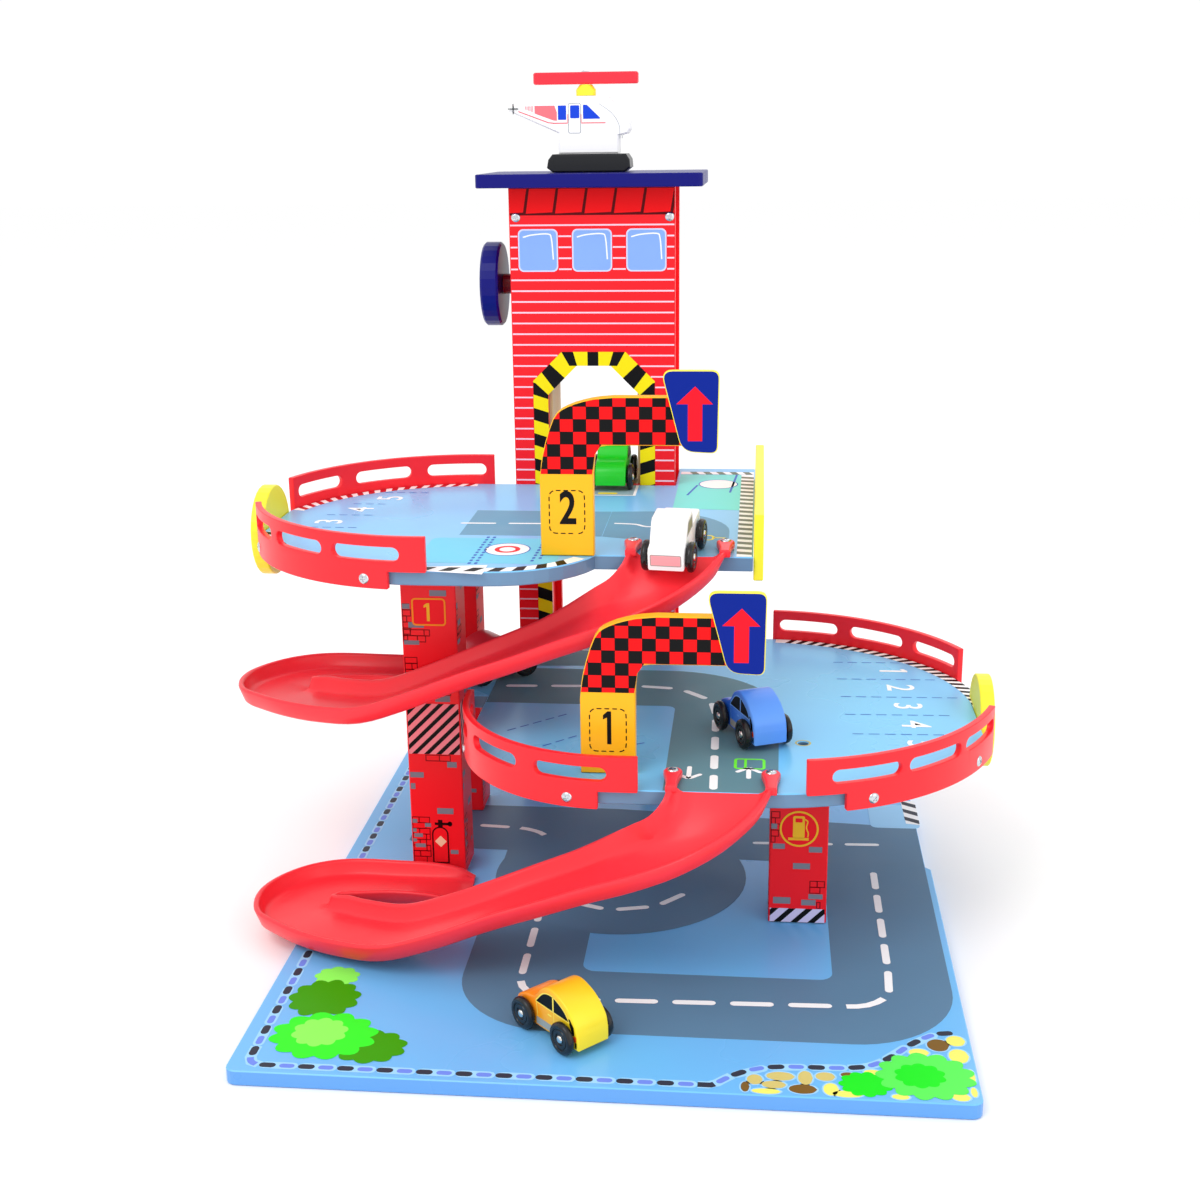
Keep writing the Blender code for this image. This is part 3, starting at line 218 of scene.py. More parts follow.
SKY = (118, 182, 244)
ROAD = (92, 128, 158)
DECK_SKY = (116, 208, 250)
DECK_ROAD = (98, 138, 150)
EDGE_BLUE = (104, 138, 172)
RED = (252, 26, 38)
SIGN_YELLOW = (255, 186, 30)
WHITE = (250, 250, 252)
BLACK = (14, 14, 16)
INK_COLOURS = {
    "tan": (210, 194, 116), "straw": (240, 236, 112), "brown": (124, 92, 40),
    "trim_yellow": (255, 226, 96), "trim_blue": (120, 176, 252), "trim_red": (250, 120, 130),
    "trim_green": (150, 250, 120), "rotor_grey": (58, 66, 68), "road": ROAD, "white": WHITE,
    "light_blue": (158, 212, 252), "charcoal": (52, 56, 70), "periwinkle": (112, 138, 232),
    "leaf_bright": (30, 232, 34), "leaf": (92, 238, 90), "leaf_deep": (60, 156, 4),
    "leaf_pale": (142, 252, 96), "leaf_green": (56, 244, 44), "deck_road": DECK_ROAD,
    "line_blue": (42, 96, 196), "lime": (120, 246, 60), "black": BLACK, "sand": (200, 190, 120),
    "grey_blue": (150, 176, 186), "yellow": (250, 226, 40), "road_pale": (106, 158, 190),
    "teal_pale": (122, 226, 220), "sheen_aqua": (116, 206, 236), "red": RED, "red_deep": (200, 24, 40),
    "bar_grey": (110, 116, 96), "line_pink": (255, 206, 222), "hazard_yellow": (255, 226, 20),
    "red_dark": (92, 4, 12), "tile_red": (255, 14, 22), "frame_lilac": (208, 216, 252),
    "pane_blue": (136, 172, 236), "mortar": (112, 6, 14), "brick_grey": (128, 130, 142),
    "orange": (255, 150, 34), "gold": (250, 190, 46), "band_pink": (255, 150, 160),
    "band_lilac": (214, 206, 240), "soot": (40, 4, 8), "cream": (255, 206, 168),
    "checker_red": (255, 16, 22), "grid_red": (96, 6, 12), "sign_blue": (2, 34, 140),
    "arrow_red": (255, 20, 40), "sill_grey": (158, 164, 160), "lamp_orange": (246, 84, 24),
    "pane_olive": (150, 148, 120), "seam_grey": (176, 178, 184), "grille_pink": (255, 170, 178),
    "cockpit_blue": (26, 70, 214), "line_grey": (130, 140, 150),
}
INKS = {}


def ink(name):
    """Printed ink with the board's satin skin, made when it is first used."""
    if name not in INKS:
        INKS[name] = surface("ink_" + name, INK_COLOURS[name], 0.42, drift=0.05, drift_scale=30.0, skin=0.03,
                             skin_scale=420.0, specular=0.12)
    return INKS[name]


# Shapes: closed lines of (x, y) in mm
def rect(x0, y0, x1, y1):
    return [(x0, y0), (x1, y0), (x1, y1), (x0, y1)]


def arc(cx, cy, radius, start, end, steps=12, squeeze=1.0):
    """Points on an arc, degrees anticlockwise; squeeze shortens it in y."""
    points = []
    for i in range(steps + 1):
        angle = math.radians(start + (end - start) * i / steps)
        points.append((cx + radius * math.cos(angle), cy + radius * squeeze * math.sin(angle)))
    return points


def oval(cx, cy, rx, ry, steps=36):
    return arc(cx, cy, rx, 0, 360, steps, ry / rx)[:-1]


def rounded(x0, y0, x1, y1, radius, steps=5):
    return (arc(x1 - radius, y0 + radius, radius, -90, 0, steps)
            + arc(x1 - radius, y1 - radius, radius, 0, 90, steps)
            + arc(x0 + radius, y1 - radius, radius, 90, 180, steps)
            + arc(x0 + radius, y0 + radius, radius, 180, 270, steps))


def scallop(cx, cy, rx, ry, lobes, depth=0.10):
    """Outline of a bush: a closed line that waves in and out."""
    points = []
    for i in range(lobes * 6):
        angle = math.tau * i / (lobes * 6)
        swell = 1 - depth + depth * abs(math.sin(angle * lobes / 2)) * 1.6
        points.append((cx + rx * swell * math.cos(angle), cy + ry * swell * math.sin(angle)))
    return points


def fillet(corners, steps=6):
    """Closed line through corners (x, y, radius) with each corner rounded."""
    line = []
    for i, (x, y, r) in enumerate(corners):
        here = Vector((x, y))
        before = Vector(corners[i - 1][:2])
        after = Vector(corners[(i + 1) % len(corners)][:2])
        a = here + (before - here).normalized() * r
        b = here + (after - here).normalized() * r
        for k in range(steps + 1):
            t = k / steps
            line.append(tuple(a * (1 - t) ** 2 + here * 2 * t * (1 - t) + b * t ** 2))
    return line


def smooth_line(points, steps=6):
    """Catmull-Rom line through points."""
    rows = [Vector(p) for p in points]
    rows = [2 * rows[0] - rows[1]] + rows + [2 * rows[-1] - rows[-2]]
    line = []
    for a, b, c, d in zip(rows, rows[1:], rows[2:], rows[3:]):
        for i in range(steps):
            t = i / steps
            line.append(0.5 * (2 * b + (c - a) * t + (2 * a - 5 * b + 4 * c - d) * t ** 2
                               + (3 * b - a - 3 * c + d) * t ** 3))
    line.append(rows[-2])
    return [tuple(p) for p in line]


def walk(line):
    """Length of a line, and a function that gives (point, direction) at a length along it."""
    points = [Vector(p) for p in line]
    runs = [0.0]
    for a, b in zip(points, points[1:]):
        runs.append(runs[-1] + (b - a).length)

    def at(s):
        i = 0
        while i < len(points) - 2 and s > runs[i + 1]:
            i += 1
        way = points[i + 1] - points[i]
        return points[i] + way.normalized() * (s - runs[i]), way.normalized()

    return runs[-1], at


def band(line, width, closed=False):
    """Quads that follow a line, half the width on each side."""
    points = [Vector(p) for p in line]
    if closed:
        points.append(points[0])
    sides = []
    for i, point in enumerate(points):
        before = points[i] - points[i - 1] if i else (points[0] - points[-2] if closed
                                                      else points[1] - points[0])
        after = points[i + 1] - points[i] if i + 1 < len(points) else (
            points[1] - points[0] if closed else before)
        way = (before.normalized() + after.normalized()).normalized()
        out = Vector((-way.y, way.x))
        reach = width / 2 / max(0.4, way.dot(after.normalized()))
        sides.append((tuple(point + out * reach), tuple(point - out * reach)))
    return [[a[1], b[1], b[0], a[0]] for a, b in zip(sides, sides[1:])]


def pill(a, b, width):
    """Stroke with round ends."""
    a, b = Vector(a), Vector(b)
    turn = math.degrees(math.atan2((b - a).y, (b - a).x))
    r = width / 2
    a, b = a + (b - a).normalized() * r, b - (b - a).normalized() * r
    return arc(*b, r, turn - 90, turn + 90, 5) + arc(*a, r, turn + 90, turn + 270, 5)


def dashes(line, dash, gap, width, start=0.0):
    """Round-ended dashes along a line."""
    length, at = walk(line)
    made, s = [], start
    while s + dash <= length + 0.01:
        middle = at(s + dash / 2)[0]
        ends = [at(s)[0], at(s + dash)[0]]
        if (ends[1] - ends[0]).length > dash * 0.985:
            made.append(pill(ends[0], ends[1], width))
        else:
            made += band([ends[0], at(s + dash / 4)[0], middle, at(s + dash * 0.75)[0], ends[1]], width)
        s += dash + gap
    return made


def stripes(line, width, pitch, slant=0.0, share=0.5):
    """Slanted bars along the left side of a line, as on a hazard border."""
    length, at = walk(line)
    made, s = [], 0.0
    while s + pitch * share <= length:
        corners = []
        for run, out in ((s, 0), (s + pitch * share, 0), (s + pitch * share + slant, width),
                         (s + slant, width)):
            point, way = at(min(max(run, 0.0), length))
            corners.append(tuple(point + Vector((-way.y, way.x)) * out))
        made.append(corners)
        s += pitch
    return made


def clip(shape, region):
    """Part of a shape inside a convex region that runs anticlockwise."""
    points = [Vector(p) for p in shape]
    for a, b in zip(region, region[1:] + region[:1]):
        a, b = Vector(a), Vector(b)
        kept = []
        for p, q in zip(points, points[1:] + points[:1]):
            side_p, side_q = (b - a).cross(p - a), (b - a).cross(q - a)
            if side_p >= 0:
                kept.append(p)
            if side_p * side_q < 0:
                kept.append(p + (q - p) * (side_p / (side_p - side_q)))
        points = kept
        if len(points) < 3:
            return None
    return [tuple(p) for p in points]


def inside(shapes, region):
    """The shapes cut to a convex region, without the empty ones."""
    return [cut for cut in (clip(shape, region) for shape in shapes) if cut]


def moved(shapes, x, y, degrees=0.0, scale=(1.0, 1.0)):
    turn = Matrix.Rotation(math.radians(degrees), 2)
    return [[tuple(turn @ Vector((px * scale[0], py * scale[1])) + Vector((x, y)))
             for px, py in shape] for shape in shapes]


def glyph(text, height, bold=0.0):
    """Figures as flat shapes about their centre; a 1 is drawn, as the font's has no flag."""
    if text == "1":
        h = height / 2
        return [[(-0.07 * height, -h), (0.09 * height, -h), (0.09 * height, h), (-0.05 * height, h),
                 (-0.22 * height, h * 0.76), (-0.22 * height, h * 0.5), (-0.07 * height, h * 0.62)]]
    curve = bpy.data.curves.new("figure", "FONT")
    curve.body = text
    curve.size = height * 1.37
    curve.offset = height * bold
    curve.align_x = "CENTER"
    curve.align_y = "CENTER"
    curve.resolution_u = 6
    source = linked("figure", curve)
    flat = evaluated(source)
    shapes = [[tuple(flat.vertices[i].co.xy) for i in face.vertices] for face in flat.polygons]
    bpy.data.objects.remove(source)
    bpy.data.curves.remove(curve)
    bpy.data.meshes.remove(flat)
    return shapes


def arrow(length, width, stroke):
    """Open arrow that points along +y from its tail."""
    tip = length / 2
    return [pill((0, -tip), (0, tip), stroke), pill((-width / 2, tip - width * 0.5), (0, tip), stroke),
            pill((width / 2, tip - width * 0.5), (0, tip), stroke)]


# Planes that prints lie in
def on_top(z):
    return Matrix.Translation((0, 0, z))


def facing(x_way, z_way, point):
    """Plane whose x runs along x_way, y up, and which looks along z_way."""
    matrix = Matrix((x_way, Vector(z_way).cross(Vector(x_way)), z_way)).transposed().to_4x4()
    matrix.translation = point
    return matrix


def front(y):
    return facing((1, 0, 0), (0, -1, 0), (0, y, 0))


def back(y):
    return facing((-1, 0, 0), (0, 1, 0), (0, y, 0))


def both_faces(x, low, high, z):
    """Front and back of a thing between two y, with 1 or -1 for the way that x runs."""
    for side, flip, y in (("front", 1, low), ("back", -1, high)):
        yield side, flip, facing((flip, 0, 0), (0, -flip, 0), (x, y, z))


def right(x):
    return facing((0, 1, 0), (1, 0, 0), (x, 0, 0))


def linked(name, data):
    """New object in the scene."""
    obj = bpy.data.objects.new(name, data)
    bpy.context.scene.collection.objects.link(obj)
    return obj


def mesh_from(bm, name):
    """Mesh of a finished bmesh, which is freed."""
    mesh = bpy.data.meshes.new(name)
    bm.to_mesh(mesh)
    bm.free()
    return mesh


def evaluated(obj):
    """Mesh of an object with its modifiers or curve settings applied."""
    bpy.context.view_layer.update()
    return bpy.data.meshes.new_from_object(obj.evaluated_get(bpy.context.evaluated_depsgraph_get()))


def shaded(mesh, degrees):
    """The mesh, smooth apart from its edges over so many degrees."""
    mesh.shade_smooth()
    mesh.set_sharp_from_angle(angle=math.radians(degrees))
    return mesh


def skin(bm, rings):
    """Quads between rings of vertices of one length."""
    count = len(rings[0])
    for a, b in zip(rings, rings[1:]):
        for i in range(count):
            j = (i + 1) % count
            bm.faces.new((a[i], a[j], b[j], b[i]))


def filled_curve(name, loops, half, edge, rounds, unit):
    """Block from flat closed lines, half as thick on each side of local Z = 0, with round edges."""
    curve = bpy.data.curves.new(name, "CURVE")
    curve.dimensions = "2D"
    curve.fill_mode = "BOTH"
    curve.extrude = (half - edge) * unit
    curve.bevel_depth = edge * unit
    curve.bevel_resolution = rounds
    curve.offset = -edge * unit
    for loop in loops:
        spline = curve.splines.new("POLY")
        spline.points.add(len(loop) - 1)
        for point, (x, y) in zip(spline.points, loop):
            point.co = (x * unit, y * unit, 0, 1)
        spline.use_cyclic_u = True
    source = linked(name, curve)
    mesh = evaluated(source)
    bpy.data.objects.remove(source)
    bpy.data.curves.remove(curve)
    return mesh


def piece(name, mesh, finish, body, place=None):
    """Put a mesh in the scene on one of the CAD bodies."""
    obj = linked(name, mesh)
    if place is not None:
        obj.matrix_world = place
    if finish is not None:
        obj.data.materials.clear()
        obj.data.materials.append(finish)
    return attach(obj, body)


def print_on(name, shapes, place, colour, layer=1, body="root"):
    """One flat piece of a single ink."""
    bm = bmesh.new()
    for shape in shapes:
        area = sum(a[0] * b[1] - b[0] * a[1] for a, b in zip(shape, shape[1:] + shape[:1]))
        points = shape if area > 0 else list(reversed(shape))
        bm.faces.new([bm.verts.new((x * MM, y * MM, layer * LAYER)) for x, y in points])
    return piece(name, mesh_from(bm, name), ink(colour), body, place)


def turned_mesh(name, profile, steps):
    """Turned body about local Z: rows of (height, radius) in mm, ends at radius 0."""
    bm = bmesh.new()
    rings = []
    for z, radius in profile:
        if radius < 0.001:
            rings.append([bm.verts.new((0, 0, z * MM))])
            continue
        rings.append([bm.verts.new((radius * MM * math.cos(math.tau * i / steps),
                                    radius * MM * math.sin(math.tau * i / steps), z * MM))
                      for i in range(steps)])
    for a, b in zip(rings, rings[1:]):
        for i in range(steps):
            j = (i + 1) % steps
            if len(a) == 1:
                bm.faces.new((a[0], b[j], b[i]))
            elif len(b) == 1:
                bm.faces.new((a[i], a[j], b[0]))
            else:
                bm.faces.new((a[i], a[j], b[j], b[i]))
    bmesh.ops.recalc_face_normals(bm, faces=bm.faces)
    return shaded(mesh_from(bm, name), 40)


def extruded_mesh(name, outline, thickness, edge, rounds=3):
    """Flat outline in mm grown to a block with round edges, about local Z = 0."""
    mesh = filled_curve(name, [outline], thickness / 2, edge, rounds, MM)
    bm = bmesh.new()
    bm.from_mesh(mesh)
    bmesh.ops.remove_doubles(bm, verts=bm.verts, dist=0.00001)
    bmesh.ops.recalc_face_normals(bm, faces=bm.faces)
    bm.to_mesh(mesh)
    bm.free()
    mesh.name = name
    return shaded(mesh, 32)


def round_shading():
    """Modifier group that shades curved faces smooth and keeps edges over 32 degrees sharp."""
    group = bpy.data.node_groups.new("round_shading", "GeometryNodeTree")
    group.interface.new_socket("Geometry", in_out="INPUT", socket_type="NodeSocketGeometry")
    group.interface.new_socket("Geometry", in_out="OUTPUT", socket_type="NodeSocketGeometry")
    entry = group.nodes.new("NodeGroupInput")
    leave = group.nodes.new("NodeGroupOutput")
    faces = group.nodes.new("GeometryNodeSetShadeSmooth")
    faces.domain = "FACE"
    edges = group.nodes.new("GeometryNodeSetShadeSmooth")
    edges.domain = "EDGE"
    edges.inputs["Shade Smooth"].default_value = False
    angle = group.nodes.new("GeometryNodeInputMeshEdgeAngle")
    sharp = group.nodes.new("FunctionNodeCompare")
    sharp.operation = "GREATER_THAN"
    sharp.inputs["B"].default_value = math.radians(32)
    group.links.new(angle.outputs["Unsigned Angle"], sharp.inputs["A"])
    group.links.new(entry.outputs["Geometry"], faces.inputs["Geometry"])
    group.links.new(faces.outputs["Geometry"], edges.inputs["Geometry"])
    group.links.new(sharp.outputs["Result"], edges.inputs["Selection"])
    group.links.new(edges.outputs["Geometry"], leave.inputs["Geometry"])
    return group


def finish_nodes():
    """A material for every CAD node that stays on show."""
    red_board = board_paint("red_board_paint", RED)
    red_plastic = moulded("red_plastic_skin", (252, 40, 52))
    navy = board_paint("navy_paint", (2, 4, 112))
    yellow = board_paint("yellow_paint", (252, 240, 62))
    sign_yellow = board_paint("sign_yellow_paint", SIGN_YELLOW)
    wood = surface("bare_wood", (214, 186, 140), 0.55, drift=0.14, drift_scale=60.0, skin=0.2,
                   skin_scale=260.0, stretch=(1.0, 1.0, 0.08))
    dark = moulded("dark_plastic_skin", (26, 28, 32))
    finishes = {
        "base_board": board_paint("base_paint", SKY, (96, 158, 226), 0.3, 0.15, 0.3, (104, 190, 242)),
        "deck_1": board_paint("deck_1_paint", DECK_SKY, EDGE_BLUE, 0.3, 0.15, 0.3, (120, 192, 246)),
        "deck_2": board_paint("deck_2_paint", DECK_SKY, EDGE_BLUE, 0.3, 0.15, 0.3, (126, 186, 246)),
        "helipad": navy, "crank_wheel": navy, "crank_hub": board_paint("hub_paint", (120, 10, 26)),
        "end_disc_left": yellow, "end_disc_right": yellow, "deck_2_side_wall": yellow,
        "helicopter_mast": yellow, "helicopter_skid": dark,
        "helicopter_body": surface("helicopter_paint", WHITE, 0.35, drift=0.02, skin=0.05, coat=0.1),
        "helicopter_rotor": board_paint("rotor_paint", (252, 50, 66)),
    }
    shading = round_shading()
    for name, node in NODES.items():
        if name in finishes:
            chosen = finishes[name]
        elif name.startswith(("tower", "column")):
            chosen = red_board
        elif "rail" in name or name.startswith("ramp"):
            chosen = red_plastic
        elif name.startswith("sign") and name.endswith("board"):
            chosen = sign_yellow
        elif name.startswith("car"):
            chosen = dark
        else:
            chosen = wood
        node.data.materials.clear()
        node.data.materials.append(chosen)
        modifier = node.modifiers.new("round_shading", "NODES")
        modifier.node_group = shading


def deck_1_region():
    m = PRINT_MARGIN
    x, y, r = LOBE1
    half = math.degrees(math.acos((LOBE1_FLAT - x) / r))
    cx, cy, cr = CORNER1
    return (arc(x, y, r - m, -90, -half, 30) + arc(x, y, r - m, half, 90, 30)
            + [(-99 + m, 175 - m)] + arc(cx, cy, cr - m, 180, 270, 20))


def deck_2_region():
    """Convex left part of deck 2, up to the bay."""
    m = PRINT_MARGIN
    x, y, r = LOBE2
    half = math.degrees(math.acos((x - LOBE2_FLAT) / r))
    sx, sy, sr = SHOULDER2
    return (arc(x, y, r - m, 180 + half, 270, 30) + arc(sx, sy, sr - m, -90, -21, 12)
            + [(-18.6, 175 - m)] + arc(x, y, r - m, 90, 180 - half, 30))


def bush(name, cx, cy, rx, ry, lobes, colour, layer):
    print_on(name, [scallop(cx, cy, rx, ry, lobes)], on_top(BASE_TOP), colour, layer)


def base_prints():
    """Roads, kerbs, stones and bushes on the base board."""
    top = on_top(BASE_TOP)
    ring = oval(-8, 10, 51, 51, 60)
    loop = (arc(-30, -128, 60, 180, 270, 14) + arc(136, -128, 60, 270, 360, 14)
            + [(196, 100), (128, 100), (128, -110)] + arc(120, -112, 8, 0, -90, 5)
            + arc(-12, -112, 8, 270, 180, 5) + [(-20, 60), (-90, 60)])
    print_on("base_road_loop", [loop], top, "road", 1)
    cross = [(-150, 118), (-162, 106), (-162, 54), (-150, 44), (196, 36), (196, 100), (-20, 118)]
    print_on("base_road_cross", [cross], top, "road", 2)
    print_on("base_road_ring", band(ring, 66, True), top, "road", 3)
    centre = ([(-55, 30), (-55, -105)] + arc(-33, -131, 22, 180, 260, 6) + [(-10, -153), (130, -149)]
              + arc(136, -124, 25, 275, 355, 8) + [(161, 40)])
    marks = dashes(centre, 25, 8, 4.6)
    marks += dashes(ring[34:58], 22, 8, 4.6)
    marks += dashes([(-116, 82), (-92, 80)] + arc(-92, 47, 33, 90, 12, 6), 22, 8, 4.6)
    marks += dashes([(80, 66), (196, 70)], 24, 8, 4.0)
    print_on("base_lane_marks", marks, top, "white", 4)
    print_on("base_forecourt", [rounded(164, 98, 199, 139, 5)], top, "light_blue", 4)
    print_on("base_forecourt_pale", [[(189.6, 106.5), (199.2, 104.5), (199.2, 147), (188.8, 147)]], top,
             "white", 5)
    bars = [[(189.4, y + 6.5), (199.2, y), (199.2, y + 6.5), (189.0, y + 13)] for y in (106, 120, 134)]
    print_on("base_forecourt_bars", bars, top, "charcoal", 6)
    line = ([(-189, 234)] + arc(-182, -226, 7, 180, 270, 6) + [(60, -233)]
            + smooth_line([(61, -233), (68, -226), (77, -219), (95, -213), (136, -211), (153, -202),
                           (167, -186), (182, -174), (197, -172)], 4))
    dark = dashes(line, 9.2, 12.2, 4.4)
    blue = dashes(line, 8.4, 13.0, 3.7, 11.1)
    print_on("base_border_rims", dashes(line, 21.4, 0.0, 6.4), top, "light_blue", 1)
    print_on("base_border_dark", dark, top, "charcoal", 2)
    print_on("base_border_blue", blue, top, "periwinkle", 2)
    stones = ((78, -233, 2.3, 4.6, 2), (83, -226, 4.2, 4.6, 0), (96.5, -222, 7.6, 4, 0),
              (93, -230, 6.5, 3.4, 0), (89, -236.3, 7.7, 2.4, 1), (108, -233, 7.4, 4.2, 2),
              (109.5, -222.5, 3.9, 6.4, 0), (120, -220.5, 5.2, 4, 0), (122.5, -232, 4, 5.6, 1),
              (132, -218, 4, 2.4, 2), (145, -214.5, 4.6, 2.4, 1), (131, -235.6, 8, 3, 1),
              (158, -236, 4.6, 2.4, 1), (171, -193.5, 5.5, 3.7, 1), (182, -185.5, 6, 6, 2),
              (192, -180.5, 5.2, 5.2, 1), (192, -195.5, 5.4, 6.8, 1), (180.5, -196.8, 2.6, 2, 1),
              (196.4, -215, 1.9, 7, 1), (189, -234, 4.7, 3.4, 1), (196, -229, 1.7, 4.4, 1))
    print_on("base_stone_rims", [oval(x, y, rx + 0.9, ry + 0.9, 18) for x, y, rx, ry, kind in stones], top,
             "light_blue", 2)
    for index, name in enumerate(("tan", "straw", "brown")):
        shapes = [smooth_line(oval(x, y, rx, ry, 7) + oval(x, y, rx, ry, 7)[:1], 4)[:-1]
                  for x, y, rx, ry, kind in stones if kind == index]
        print_on("base_stones_" + name, shapes, top, name, 3)
    bush("bush_right_small", 140.7, -226, 13.5, 11, 11, "leaf_bright", 4)
    bush("bush_right", 172.5, -216, 25, 21, 13, "leaf", 5)
    bush("bush_right_core", 169.6, -216, 13, 11, 10, "leaf_bright", 6)
    bush("bush_left_pale", -164, -138, 13, 11, 9, "leaf_pale", 3)
    bush("bush_left_top", -165, -163, 20, 20, 11, "leaf_deep", 4)
    bush("bush_left_side", -127, -211, 20, 16, 10, "leaf_deep", 4)
    bush("bush_left", -155, -202, 29, 23, 12, "leaf_green", 5)
    bush("bush_left_core", -158, -199, 15, 14, 10, "leaf_pale", 6)


def deck_1_prints():
    """Lanes, parking places and hazard border of the lower deck."""
    top = on_top(DECK1_TOP)
    region = deck_1_region()
    sweep = ([(28, -118), (94, -118), (95, -40)] + arc(20, 20, 76, 0, 90, 14) + [(-99, 96), (-99, 24)]
             + arc(22, 18, 6, 90, 0, 4))
    print_on("deck_1_road", inside([sweep], region), top, "deck_road", 1)
    centre = [(57, -114)] + arc(8, 15, 47, 0, 88, 9) + [(5, 62), (-99, 57)]
    print_on("deck_1_lane_marks", dashes(centre, 22, 9, 4.8), top, "white", 2)
    back_area = [(-98, 100), (-34, 104), (-34, 174), (-98, 174)]
    print_on("deck_1_lift_lane", inside([back_area], region), top, "deck_road", 1)
    landing_zone("deck_1", top)
    arrows = moved(arrow(19, 15, 2.9), 42, -89, 180) + moved(arrow(17, 15, 2.9), 77, -88)
    print_on("deck_1_arrows", arrows, top, "white", 2)
    pump = band(rounded(69, -81, 86, -66, 2), 1.8, True) + band([(75, -80), (75, -67)], 1.6)
    print_on("deck_1_icon", pump, top, "lime", 2)
    lines = []
    for y, x0, x1 in ((122, 135, 201), (86, 136, 208), (50, 137, 214), (16, 138, 214), (-19, 141, 206)):
        lines += dashes([(x0, y), (x1, y + 2)], 7, 3, 1.0)
    for line in ([(-76, -28), (-40, 6)], [(-50, -53), (-24, -27)], [(-2, -52), (14, -42)]):
        lines += dashes(line, 7, 3, 1.2)
    print_on("deck_1_parking_lines", lines, top, "line_blue", 2)
    place_figures("deck_1", "12345", ((176, 105), (177, 70), (179, 34), (181, 0), (182, -34)), -90, top)
    x, y, r = LOBE1
    edge = arc(x, y, r - PRINT_MARGIN, 3, 84, 60)
    middle = arc(x, y, r - PRINT_MARGIN - BORDER / 2, 2, 86, 60)
    print_on("deck_1_border_white", band(middle, BORDER), top, "white", 1)
    print_on("deck_1_border_black", stripes(edge, BORDER, 8.5, 4.0), top, "black", 2)
    ring = band(oval(110, -37, 4.4, 4.4, 24), 1.2, True)
    print_on("deck_1_hole_ring", ring, top, "sand", 1)


def place_figures(deck, texts, spots, degrees, top):
    """Numbers of the parking places."""
    figures = []
    for text, (x, y) in zip(texts, spots):
        figures += moved(glyph(text, 19, 0.01), x, y, degrees, (1.05, 1.0))
    print_on(deck + "_figures", figures, top, "white", 2)


def landing_zone(deck, top):
    """Marked place before a lift door: white outline, grey field and a yellow dash."""
    x0, x1, y0, y1 = -70.5, -7.5, 139, 173.5
    print_on(deck + "_landing_field", [rect(x0, y0, x1, y1)], top, "grey_blue", 2)
    print_on(deck + "_landing_frame", band([(x0, y1), (x0, y0), (x1, y0), (x1, y1)], 2.0), top, "white", 3)
    print_on(deck + "_landing_mark", [rounded(-58, 143, -44, 148, 2), rounded(-34, 143, -20, 148, 2)],
             top, "yellow", 3)


